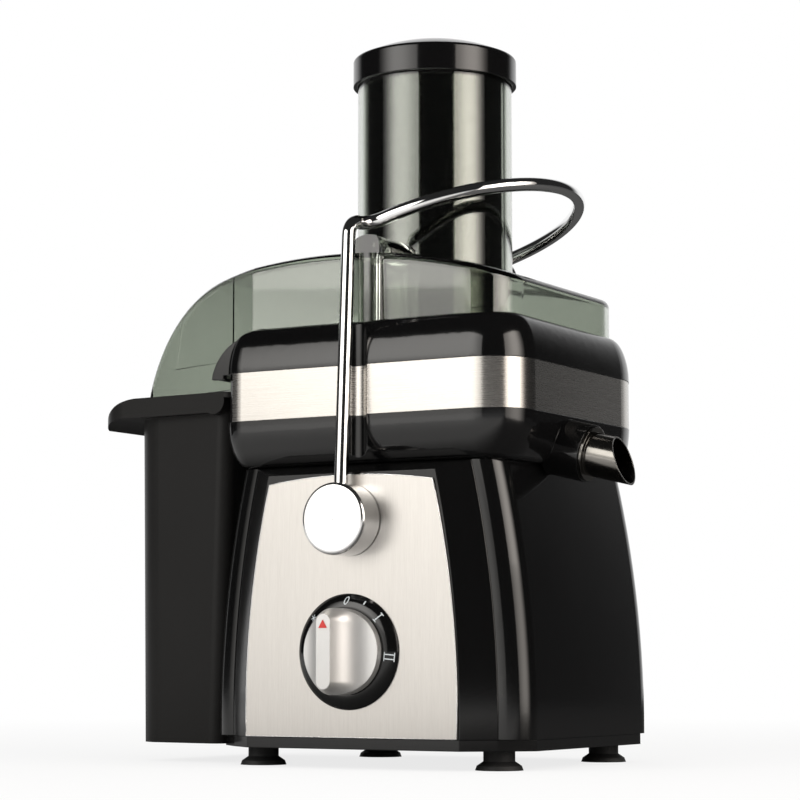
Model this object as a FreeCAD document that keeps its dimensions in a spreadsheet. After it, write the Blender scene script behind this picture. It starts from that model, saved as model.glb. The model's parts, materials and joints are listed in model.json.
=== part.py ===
import FreeCAD, Part
import math
import os
from types import SimpleNamespace

import Sketcher

# A centrifugal juicer: motor base, juice bowl, smoke lid with feed tube, pulp bin and locking arm.
# Millimetres, +Z up. The origin lies on the motor's axis, in the plane that the feet stand on.
# The front is towards -Y, the pulp bin towards -X and the juice spout towards +X.

SIZES = (
    ("wall", 2.5, "moulded wall"),
    ("sheet", 0.8, "steel sheet"),
    ("slip", 0.3, "gap between pieces that part or slide"),
    ("running_fit", 0.05, "radial gap of a shaft in its bore"),
    ("foot_height", 9.5, "floor to the tray's underside"),
    ("foot_radius", 11.75, "rim of a suction foot"),
    ("foot_boss_radius", 7.75, "boss of a suction foot"),
    ("foot_cup_height", 4.3, "suction cup of a foot"),
    ("foot_stem_radius", 4.0, "stem of a foot in the tray"),
    ("foot_inset_x", 22.0, "feet in from the housing's sides"),
    ("foot_inset_y", 16.0, "feet in from the housing's front and back"),
    ("tray_height", 5.5, "base tray"),
    ("tray_floor", 2.5, "floor of the base tray"),
    ("tray_inset", 0.5, "how far the tray stands in from the housing"),
    ("tray_edge", 16.0, "width of the tray's solid edge"),
    ("vent_width", 4.0, "vent slot in the tray"),
    ("vent_length", 44.0, "vent slot in the tray"),
    ("vent_pitch", 10.0, "step between vent slots"),
    ("housing_height", 135.0, "motor housing above the tray"),
    ("housing_depth", 150.0, "motor housing front to back, without its covers"),
    ("foot_half_width", 90.0, "half the housing's width at its foot"),
    ("waist_half_width", 86.0, "half the housing's width at its waist"),
    ("crown_half_width", 75.5, "half the housing's width at its crown"),
    ("waist_height", 90.0, "height of the waist above the floor"),
    ("housing_corner", 13.0, "rounding of the housing's upright corners at the front"),
    ("housing_back_corner", 16.0, "rounding of the housing's upright corners at the back"),
    ("cover_depth", 11.5, "front and rear cover, from the housing's face"),
    ("cover_foot_half_width", 76.0, "half a cover's width at its foot"),
    ("cover_waist_half_width", 72.4, "half a cover's width at the waist"),
    ("cover_crown_half_width", 62.0, "half a cover's width at its crown"),
    ("face_foot_half_width", 61.0, "half a cover's flat face at its foot, inside its bevels"),
    ("face_waist_half_width", 57.4, "half a cover's flat face at the waist"),
    ("face_crown_half_width", 48.0, "half a cover's flat face at its crown"),
    ("cover_top_bevel", 5.0, "bevel along a cover's top"),
    ("cover_hollow_half_width", 42.0, "hollow behind a cover"),
    ("cover_skin", 3.0, "face left in front of that hollow"),
    ("panel_foot_half_width", 60.0, "half the steel panel's width at its foot"),
    ("panel_waist_half_width", 56.3, "half the steel panel's width at the waist"),
    ("panel_head_half_width", 47.0, "half the steel panel's width at its upper corners"),
    ("panel_corner_height", 125.5, "panel's upper corners above the tray"),
    ("panel_crown", 3.5, "rise of the panel's arched top"),
    ("dial_height", 57.0, "dial's centre above the floor"),
    ("bezel_radius", 28.4, "dial bezel"),
    ("bezel_depth", 4.0, "dial bezel"),
    ("bezel_rim", 0.6, "thickness of the dial bezel at its edge"),
    ("bezel_land", 0.75, "flat ring of the bezel beside the knob"),
    ("bezel_bulge", 0.8, "how far the bezel swells above a plain cone"),
    ("knob_radius", 21.0, "speed knob"),
    ("knob_height", 20.0, "speed knob"),
    ("knob_rib_width", 8.0, "grip rib of the knob"),
    ("knob_scoop_radius", 16.0, "finger scoop round the rib"),
    ("knob_rib_inset", 2.75, "rounded ends of the rib, in from the knob's edge"),
    ("knob_bore_depth", 15.0, "hole in the knob for the switch's shaft"),
    ("marker_radius", 2.6, "pointer mark on the rib"),
    ("marker_thickness", 0.5, "pointer mark on the rib"),
    ("marker_offset", 12.6, "pointer mark from the knob's centre"),
    ("switch_shaft_radius", 3.0, "rotary switch"),
    ("switch_size", 28.0, "rotary switch, square"),
    ("switch_depth", 18.0, "rotary switch"),
    ("pivot_height", 121.5, "locking arm's pivot above the floor"),
    ("pivot_radius", 5.0, "pivot pin"),
    ("bush_wall", 3.0, "pivot bush"),
    ("cap_radius", 17.8, "chrome pivot cap"),
    ("cap_length", 15.5, "chrome pivot cap"),
    ("cap_rounding", 2.0, "rounded edge of the pivot cap"),
    ("cap_gap", 0.7, "pivot cap from the panel"),
    ("clip_radius", 8.5, "retaining clip on the pivot pin"),
    ("clip_thickness", 1.2, "retaining clip on the pivot pin"),
    ("cam_radius", 10.0, "interlock cam"),
    ("cam_thickness", 4.0, "interlock cam"),
    ("arm_radius", 3.5, "bent rod of the locking arm"),
    ("arm_height", 271.5, "top of the arm's legs above the floor"),
    ("arm_top_reach", 88.0, "legs' upper ends from the middle plane"),
    ("arm_leg_bend", 8.5, "bend at the top of a leg"),
    ("arm_loop_radius", 70.0, "loop around the feed tube"),
    ("arm_loop_bend", 10.0, "bend into the loop"),
    ("arm_loop_rise", 16.7, "slope of the loop, degrees"),
    ("bowl_left", 81.0, "bowl's left wall from the axis"),
    ("bowl_right", 89.5, "bowl's right wall from the axis"),
    ("bowl_half_depth", 84.0, "half the bowl front to back"),
    ("bowl_corner", 14.0, "bowl's small corners in plan"),
    ("bowl_front_corner", 24.0, "bowl's right corner at the front in plan"),
    ("bowl_back_corner", 45.0, "bowl's right corner at the back in plan"),
    ("bowl_floor", 3.0, "bowl's floor"),
    ("bowl_lower_height", 24.0, "bowl below the steel band"),
    ("bowl_bottom_round", 12.0, "how far the bowl draws in below its band"),
    ("band_height", 25.0, "steel band"),
    ("band_recess", 1.0, "how deep the band's seat is"),
    ("band_end", 73.0, "band's ends from the axis, on the left"),
    ("collar_height", 23.0, "black collar above the band"),
    ("collar_round", 10.0, "how far the collar's tall shoulder draws in"),
    ("collar_shoulder", 22.0, "collar's left shoulder"),
    ("collar_hollow", 6.0, "collar's skin around its hollow"),
    ("mouth_inset_right", 13.5, "collar's opening in from the bowl's right side"),
    ("mouth_inset_left", 5.0, "collar's opening in from the bowl's left side"),
    ("mouth_inset_depth", 14.0, "collar's opening in from the bowl's front and back"),
    ("mouth_corner", 26.0, "corner of the collar's opening"),
    ("lip_reach", 15.0, "pulp lip from the bowl's left wall"),
    ("lip_half_width", 62.0, "half the pulp lip's width"),
    ("guide_reach", 7.5, "lid guides beyond the bowl's left wall"),
    ("guide_length", 9.0, "lid guides' roots along the collar"),
    ("guide_height", 18.0, "lid guides above the steel band"),
    ("guide_drop", 2.0, "lid guides below the band's upper edge"),
    ("guide_thickness", 3.5, "lid guides"),
    ("channel_radius", 8.0, "upright arm channel in bowl and collar"),
    ("channel_depth", 6.0, "upright arm channel in bowl and collar"),
    ("drain_height", 13.0, "tube in the bowl's floor around the drive"),
    ("drain_radius", 15.0, "tube in the bowl's floor around the drive"),
    ("spout_offset", 21.0, "spout in front of the axis"),
    ("spout_height", 155.0, "spout's centre at its root above the floor"),
    ("spout_root", 100.0, "spout's root from the axis"),
    ("spout_radius", 11.0, "steel spout"),
    ("spout_slope", 13.5, "fall of the spout, degrees"),
    ("spout_length", 25.0, "spout beyond its root, along its lower side"),
    ("spout_cut", 30.0, "slant of the spout's end, degrees"),
    ("spout_socket", 8.0, "spout inside its boss"),
    ("spout_flange", 2.6, "ring at the spout's root"),
    ("spout_boss", 3.5, "wall of the boss that holds the spout"),
    ("spout_boss_length", 20.0, "boss that holds the spout"),
    ("lid_inset", 11.0, "lid's wall inside the bowl's right and back sides"),
    ("lid_front_inset", 9.0, "lid's wall inside the bowl's front"),
    ("lid_right_height", 20.0, "lid above the collar at its right end"),
    ("lid_crown_height", 35.5, "lid above the collar at its crown"),
    ("lid_hip_height", 29.5, "lid above the collar where it starts to fall"),
    ("lid_fall", 64.0, "length of the lid's fall over the bin"),
    ("lid_reach", 152.0, "lid's left end from the axis"),
    ("lid_end_half_width", 45.0, "half the lid's width at its left end"),
    ("lid_end_height", 8.0, "lid's upright end above the bin's rim"),
    ("lid_bulge", 7.0, "how round the lid's fall is"),
    ("lid_round", 5.0, "rounding of the lid's upper edge"),
    ("lid_panel", 1.2, "thicker panel in the lid's long walls"),
    ("lid_panel_inset", 24.0, "that panel from the lid's left end"),
    ("lid_panel_rise", 15.5, "that panel above the bin's rim"),
    ("lid_panel_lean", 20.0, "how far that panel's end leans"),
    ("lid_channel_radius", 9.0, "upright arm channel in the lid"),
    ("lid_channel_depth", 5.0, "upright arm channel in the lid"),
    ("saddle_radius", 14.0, "raised saddle under the arm"),
    ("saddle_gap", 1.0, "saddle to the arm"),
    ("tube_radius", 41.0, "feed tube outside"),
    ("tube_wall", 3.0, "feed tube"),
    ("tube_bottom", 196.0, "feed tube's lower end above the floor"),
    ("tube_top", 366.0, "feed tube's upper end above the floor"),
    ("tube_fit", 0.15, "feed tube in the lid"),
    ("pusher_gap", 0.6, "pusher in the feed tube"),
    ("pusher_bottom", 186.0, "pusher's lower end above the floor"),
    ("pusher_wall", 2.2, "pusher"),
    ("cap_skirt_radius", 43.5, "pusher's cap"),
    ("cap_skirt_drop", 9.0, "cap's skirt below the tube's mouth"),
    ("cap_rim_height", 5.7, "cap's rim above the tube's mouth"),
    ("cap_dome", 9.3, "domed top of the cap"),
    ("cap_dome_shoulder", 7.2, "that dome's height half way out"),
    ("bin_floor_height", 10.0, "bin's underside above the floor"),
    ("bin_drop", 7.0, "bin's rim below the collar's lower edge"),
    ("bin_wall", 2.2, "pulp bin"),
    ("bin_left", 156.0, "bin's left wall from the axis, at the rim"),
    ("bin_right_top", 87.5, "bin's right wall from the axis, at the rim"),
    ("bin_right_bottom", 93.0, "bin's right wall from the axis, at its foot"),
    ("bin_taper", 2.0, "how much the left wall leans in"),
    ("bin_half_width_right", 64.0, "half the bin's width by the bowl"),
    ("bin_half_width_left", 58.0, "half the bin's width at its left"),
    ("bin_corner", 20.0, "bin's left corners"),
    ("bin_inner_corner", 8.0, "bin's right corners"),
    ("rim_width", 5.0, "bin's rim around its walls"),
    ("rim_thickness", 3.0, "bin's rim"),
    ("rim_hook", 4.7, "bin's rim over the bowl's ledge"),
    ("rim_skirt", 10.5, "depth of the rim's skirt"),
    ("handle_reach", 20.5, "pull lip beyond the bin's left wall"),
    ("handle_bend", 8.0, "where the pull lip starts, in from the bin's left wall"),
    ("handle_drop", 13.5, "how far the pull lip droops"),
    ("handle_bulge", 3.5, "how round the pull lip is"),
    ("ledge_half_width", 40.0, "ledge that carries the bin"),
    ("ledge_height", 5.0, "ledge that carries the bin"),
    ("ledge_reach", 5.2, "ledge from the bowl's left wall"),
    ("shaft_radius", 4.0, "motor shaft"),
    ("shaft_bottom", 22.0, "motor shaft's lower end above the floor"),
    ("bracket_length", 84.0, "motor brackets"),
    ("bracket_width", 40.0, "motor brackets"),
    ("bracket_thickness", 6.0, "motor brackets"),
    ("lower_bracket_height", 36.0, "lower bracket above the floor"),
    ("upper_bracket_height", 118.0, "upper bracket above the floor"),
    ("bearing_radius", 9.0, "ball bearings"),
    ("stator_width", 64.0, "stator laminations, square"),
    ("stator_corner", 6.0, "corners of the stator laminations"),
    ("stator_height", 44.0, "stator laminations"),
    ("stator_bottom", 56.0, "stator above the floor"),
    ("armature_radius", 20.0, "armature"),
    ("air_gap", 1.0, "armature to stator"),
    ("coil_height", 9.0, "coil ends"),
    ("coil_width", 6.0, "coil ends"),
    ("winding_height", 4.0, "armature's winding ends"),
    ("commutator_radius", 11.0, "commutator"),
    ("commutator_height", 7.0, "commutator"),
    ("brush_size", 6.0, "carbon brushes, square"),
    ("brush_length", 9.0, "carbon brushes"),
    ("holder_wall", 1.5, "brush holders"),
    ("fan_radius", 31.0, "cooling fan"),
    ("fan_height", 9.0, "cooling fan"),
    ("fan_root", 7.6, "inner ends of the fan's blades"),
    ("fan_tip_gap", 1.0, "fan's blades short of its edge"),
    ("fan_disc", 1.6, "cooling fan's disc and blades"),
    ("bush_height", 4.0, "rubber motor bushes"),
    ("bush_radius", 6.5, "rubber motor bushes"),
    ("post_radius", 5.5, "posts that hang the motor"),
    ("post_spread_x", 36.0, "posts from the axis, sideways"),
    ("post_spread_y", 13.0, "posts from the axis, front to back"),
    ("screw_radius", 2.0, "screw shanks"),
    ("screw_head_radius", 3.6, "screw heads"),
    ("screw_head_height", 2.0, "screw heads"),
    ("screw_bite", 12.0, "screws in their posts"),
    ("boss_spread_y", 38.0, "tray screws from the axis, front to back"),
    ("boss_radius", 5.0, "screw bosses in the housing"),
    ("boss_height", 16.0, "screw bosses in the housing"),
    ("seal_radius", 10.0, "shaft seal"),
    ("seal_height", 5.0, "shaft seal"),
    ("coupling_bottom", 156.0, "drive coupling above the floor"),
    ("coupling_height", 11.0, "drive coupling's shoulder"),
    ("coupling_radius", 13.0, "drive coupling"),
    ("hex_radius", 9.0, "hexagon on the coupling, across its corners"),
    ("hex_height", 7.0, "hexagon on the coupling"),
    ("hub_radius", 24.0, "basket hub"),
    ("hub_skirt_height", 6.0, "basket hub's skirt"),
    ("hub_height", 11.0, "basket hub above its seat"),
    ("hub_skirt_wall", 3.5, "basket hub's skirt"),
    ("disc_radius", 49.0, "grater disc"),
    ("disc_thickness", 1.2, "grater disc"),
    ("tooth_ring_start", 18.0, "innermost ring of grater teeth"),
    ("tooth_ring_step", 12.0, "step between rings of teeth"),
    ("tooth_length", 4.0, "grater teeth"),
    ("tooth_height", 1.5, "grater teeth"),
    ("basket_rim_radius", 62.0, "filter basket's rim"),
    ("basket_throat", 57.0, "filter basket inside its rim"),
    ("basket_height", 41.0, "filter basket's mesh wall"),
    ("basket_rim_height", 3.5, "filter basket's rim"),
    ("board_width", 60.0, "control board"),
    ("board_height", 46.0, "control board"),
    ("board_thickness", 1.6, "control board"),
    ("board_bottom", 40.0, "control board above the floor"),
    ("board_standoff", 5.0, "control board from the rear wall"),
    ("standoff_radius", 3.0, "pegs behind the control board"),
    ("gland_height", 32.0, "cord gland above the floor"),
    ("gland_offset", 36.0, "cord gland from the middle plane"),
    ("gland_radius", 5.5, "cord gland"),
    ("gland_bore", 3.4, "cord gland"),
    ("gland_flange", 2.5, "cord gland's flange"),
    ("interlock_length", 20.0, "interlock switch"),
    ("interlock_height", 10.0, "interlock switch"),
    ("interlock_depth", 8.0, "interlock switch"),
    ("interlock_gap", 0.6, "interlock switch to its cam"),
)

FAN_BLADES = 9
VENT_SLOTS = 9
TOOTH_COUNTS = (8, 12, 16)
SHOULDER_ANGLES = (0, 30, 55, 75, 90)
DIAGONAL = math.sqrt(0.5)
BEYOND = 5.0
NEAR = 1e-3

doc = FreeCAD.newDocument("centrifugal_juicer")
sheet = doc.addObject("Spreadsheet::Sheet", "Sizes")


class Size:
    """A length with its number and the sheet formula that gives it."""

    def __init__(self, value, text):
        self.value = value
        self.text = text

    def join(self, other, sign, number):
        other = as_size(other)
        return Size(number(self.value, other.value), f"({self.text} {sign} {other.text})")

    def __add__(self, other):
        return self.join(other, "+", lambda a, b: a + b)

    def __sub__(self, other):
        return self.join(other, "-", lambda a, b: a - b)

    def __mul__(self, other):
        return self.join(other, "*", lambda a, b: a * b)

    def __truediv__(self, other):
        return self.join(other, "/", lambda a, b: a / b)

    def __radd__(self, other):
        return as_size(other) + self

    def __rsub__(self, other):
        return as_size(other) - self

    def __rmul__(self, other):
        return as_size(other) * self

    def __neg__(self):
        return as_size(-1) * self


def as_size(number):
    """A plain number as a Size."""
    if isinstance(number, Size):
        return number
    return Size(float(number), f"({float(number)!r})")


def fill_sheet():
    """Write the driving sizes and give each cell its alias."""
    for row, (alias, number, note) in enumerate(SIZES, start=1):
        sheet.set(f"A{row}", alias)
        sheet.set(f"B{row}", str(number))
        sheet.set(f"C{row}", note)
        sheet.setAlias(f"B{row}", alias)
    doc.recompute()
    return SimpleNamespace(**{a: Size(float(sheet.get(a)), f"Sizes.{a}") for a, _, _ in SIZES})


s = fill_sheet()
pieces = {}


def bind(item, name, size):
    """Tie a property of a document object to the sheet."""
    item.setExpression(name, as_size(size).text)


def place(item, x=0, y=0, z=0, turn=None):
    """Turn an object, then tie its position to the sheet."""
    if turn is not None:
        item.Placement = FreeCAD.Placement(FreeCAD.Vector(), turn)
    for axis, size in zip("xyz", (x, y, z)):
        bind(item, f"Placement.Base.{axis}", size)
    return item


def keep(name, item):
    """Make a document object a finished piece."""
    item.Label = name
    pieces[name] = item
    return item


# Turns from +Z to the axis named
TO_FRONT = FreeCAD.Rotation(FreeCAD.Vector(1, 0, 0), 90)
TO_BACK = FreeCAD.Rotation(FreeCAD.Vector(1, 0, 0), -90)


def via(x, y):
    """A point that an arc passes through, between two corners of an outline."""
    return ("via", x, y)


def trace(sketch, outline):
    """Draw a closed outline of lines and arcs, each corner tied to the sheet."""
    corners = [p for p in outline if p[0] != "via"]
    arcs = {}
    seen = 0
    for p in outline:
        if p[0] == "via":
            arcs[seen - 1] = (as_size(p[1]), as_size(p[2]))
        else:
            seen += 1
    corners = [(as_size(x), as_size(y)) for x, y in corners]
    spots = [FreeCAD.Vector(x.value, y.value, 0) for x, y in corners]
    ends = []
    limits = []
    formulas = []

    def hold(geometry, end, x, y):
        for kind, size, axis in (("DistanceX", x, -2), ("DistanceY", y, -1)):
            if size.value == 0:
                limits.append(Sketcher.Constraint("PointOnObject", geometry, end, axis))
                formulas.append(None)
            else:
                limits.append(Sketcher.Constraint(kind, -1, 1, geometry, end, size.value))
                formulas.append(size.text)

    for i, spot in enumerate(spots):
        following = spots[(i + 1) % len(spots)]
        if i in arcs:
            middle = FreeCAD.Vector(arcs[i][0].value, arcs[i][1].value, 0)
            geometry = sketch.addGeometry(Part.Arc(spot, middle, following), False)
            forward = sketch.getPoint(geometry, 1).distanceToPoint(spot) < NEAR
            ends.append((geometry, 1 if forward else 2, 2 if forward else 1))
            mark = sketch.addGeometry(Part.Point(middle), True)
            limits.append(Sketcher.Constraint("PointOnObject", mark, 1, geometry))
            formulas.append(None)
            hold(mark, 1, *arcs[i])
        else:
            geometry = sketch.addGeometry(Part.LineSegment(spot, following), False)
            ends.append((geometry, 1, 2))
    for i, (geometry, start, stop) in enumerate(ends):
        neighbour = ends[(i + 1) % len(ends)]
        limits.append(Sketcher.Constraint("Coincident", geometry, stop, neighbour[0], neighbour[1]))
        formulas.append(None)
        hold(geometry, start, *corners[i])
    sketch.addConstraint(limits)
    for i, text in enumerate(formulas):
        if text is not None:
            sketch.setExpression(f"Constraints[{i}]", text)


def new_sketch(body, role, offset, outline):
    """A sketch on one of the body's own planes, moved along that plane's normal."""
    sketch = body.newObject("Sketcher::SketchObject", f"{body.Name}_outline")
    plane = next(f for f in body.Origin.OriginFeatures if f.Role == role)
    sketch.AttachmentSupport = (plane, [""])
    sketch.MapMode = "FlatFace"
    bind(sketch, "AttachmentOffset.Base.z", offset)
    trace(sketch, outline)
    return sketch


def pad(name, role, offset, length, outline):
    """A body padded from an outline."""
    body = doc.addObject("PartDesign::Body", name)
    sketch = new_sketch(body, role, offset, outline)
    feature = body.newObject("PartDesign::Pad", f"{name}_pad")
    feature.Profile = sketch
    bind(feature, "Length", length)
    return body


def block(name, bottom, top, outline):
    """A plan outline padded upwards."""
    return pad(name, "XY_Plane", bottom, top - bottom, outline)


def slab(name, front, back, outline):
    """A front outline, in x and z, padded from the back to the front."""
    return pad(name, "XZ_Plane", -1 * as_size(back), as_size(back) - front, outline)


def turned(name, outline):
    """A body of revolution about Z from an outline in radius and height."""
    body = doc.addObject("PartDesign::Body", name)
    sketch = new_sketch(body, "XZ_Plane", 0, outline)
    feature = body.newObject("PartDesign::Revolution", f"{name}_turn")
    feature.Profile = sketch
    feature.ReferenceAxis = (sketch, ["V_Axis"])
    feature.Angle = 360
    return body


def ring(name, inner, outer, bottom, top):
    """A plain ring about Z."""
    return turned(name, [(inner, bottom), (outer, bottom), (outer, top), (inner, top)])


def loft(name, role, sections, ruled=True):
    """A body through several outlines, each with its place along the plane's normal."""
    body = doc.addObject("PartDesign::Body", name)
    sketches = [new_sketch(body, role, offset, outline) for offset, outline in sections]
    feature = body.newObject("PartDesign::AdditiveLoft", f"{name}_loft")
    feature.Profile = sketches[0]
    feature.Sections = sketches[1:]
    feature.Ruled = ruled
    return body


def dress(body, kind, size, wanted):
    """Fillet or chamfer the edges of a body that pass the test."""
    doc.recompute()
    names = [f"Edge{i}" for i, e in enumerate(body.Shape.Edges, start=1) if wanted(e)]
    base = body.Tip
    feature = body.newObject(f"PartDesign::{kind}", f"{body.Name}_{kind.lower()}")
    feature.Base = (base, names)
    bind(feature, "Radius" if kind == "Fillet" else "Size", size)
    body.Tip = feature
    doc.recompute()
    return body


def cuboid(name, x, y, z):
    """A box from three spans, each a pair of ends."""
    item = doc.addObject("Part::Box", name)
    for side, span in zip(("Length", "Width", "Height"), (x, y, z)):
        bind(item, side, as_size(span[1]) - span[0])
    return place(item, x[0], y[0], z[0])


def rod(name, radius, length, x, y, z, turn=None):
    """A cylinder from a point, upwards or along the turn."""
    item = doc.addObject("Part::Cylinder", name)
    bind(item, "Radius", radius)
    bind(item, "Height", length)
    return place(item, x, y, z, turn)


def fuse(name, *items):
    """Several solids joined into one piece, or grouped when they stand apart."""
    item = doc.addObject("Part::MultiFuse", name)
    item.Shapes = list(items)
    item.Refine = True
    return item


def cut(name, base, *tools):
    """A solid with others taken out of it."""
    item = doc.addObject("Part::Cut", name)
    item.Base = base
    item.Tool = tools[0] if len(tools) == 1 else fuse(f"{name}_tools", *tools)
    item.Refine = True
    return item


def common(name, first, second):
    """What two solids share."""
    item = doc.addObject("Part::Common", name)
    item.Base = first
    item.Tool = second
    return item


def soften(name, base, radius, wanted):
    """Round the edges of a solid that pass the test."""
    doc.recompute()
    item = doc.addObject("Part::Fillet", name)
    item.Base = base
    numbered = enumerate(base.Shape.Edges, start=1)
    item.Edges = [(i, radius.value, radius.value) for i, e in numbered if wanted(e)]
    return item


def spans(edge, axis, length):
    """Whether an edge runs over at least this length along an axis."""
    return getattr(edge.BoundBox, f"{axis}Length") >= length - NEAR


def lies(edge, axis, level):
    """Whether an edge lies in the plane at this level."""
    box = edge.BoundBox
    low, high = getattr(box, f"{axis}Min"), getattr(box, f"{axis}Max")
    return abs(low - level) < NEAR and abs(high - level) < NEAR


# Levels and planes that several pieces share
TRAY_TOP = s.foot_height + s.tray_height
BASE_TOP = TRAY_TOP + s.housing_height
BAND_BOTTOM = BASE_TOP + s.bowl_lower_height
BAND_TOP = BAND_BOTTOM + s.band_height
COLLAR_TOP = BAND_TOP + s.collar_height
BOWL_FLOOR = BASE_TOP + s.bowl_floor
RIM_TOP = BAND_TOP - s.bin_drop
HALF_DEPTH = s.housing_depth / 2
FACE = HALF_DEPTH + s.cover_depth
PANEL = FACE + s.sheet
FOOT_X = s.foot_half_width - s.foot_inset_x
FOOT_Y = HALF_DEPTH - s.foot_inset_y
LID_HIP = s.lid_reach - s.lid_fall
WALL_INSIDE = HALF_DEPTH - s.wall
HUB_SEAT = s.coupling_bottom + s.coupling_height
DISC_BOTTOM = HUB_SEAT + s.hub_height
DISC_TOP = DISC_BOTTOM + s.disc_thickness
BRACKET_TOP = s.upper_bracket_height + s.bracket_thickness
STATOR_TOP = s.stator_bottom + s.stator_height
POST_BOTTOM = BRACKET_TOP + s.bush_height
CORNERS = ((-1, -1), (1, -1), (1, 1), (-1, 1))


def bowed(foot, waist, crown, low, high):
    """Front outline with bowed sides."""
    return [
        (-foot, low), (foot, low), via(waist, s.waist_height),
        (crown, high), (-crown, high), via(-waist, s.waist_height),
    ]


def rounded(left, right, front, back, corners):
    """Plan rectangle with a radius for each corner, from the front left, anticlockwise."""
    outline = []
    places = ((left, front, 1, 1), (right, front, -1, 1), (right, back, -1, -1), (left, back, 1, -1))
    for i, ((x, y, inward, upward), radius) in enumerate(zip(places, corners)):
        bend = as_size(radius) * (1 - DIAGONAL)
        along = (x, y + upward * as_size(radius))
        across = (x + inward * as_size(radius), y)
        first, last = (along, across) if i % 2 == 0 else (across, along)
        outline += [first, via(x + inward * bend, y + upward * bend), last]
    return outline


def bowl_outline(inset):
    """The bowl in plan, drawn in from its outer face."""
    small = s.bowl_corner - inset
    return rounded(
        -s.bowl_left + inset, s.bowl_right - inset, -s.bowl_half_depth + inset, s.bowl_half_depth - inset,
        (small, s.bowl_front_corner - inset, s.bowl_back_corner - inset, small),
    )


def channels(name, half_depth, radius, depth, bottom, top):
    """The two upright rods that shape the arm's channels, front and back."""
    reach = as_size(half_depth) + radius - depth
    return [
        rod(f"{name}_front", radius, top - bottom, 0, -reach, bottom),
        rod(f"{name}_back", radius, top - bottom, 0, reach, bottom),
    ]


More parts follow.
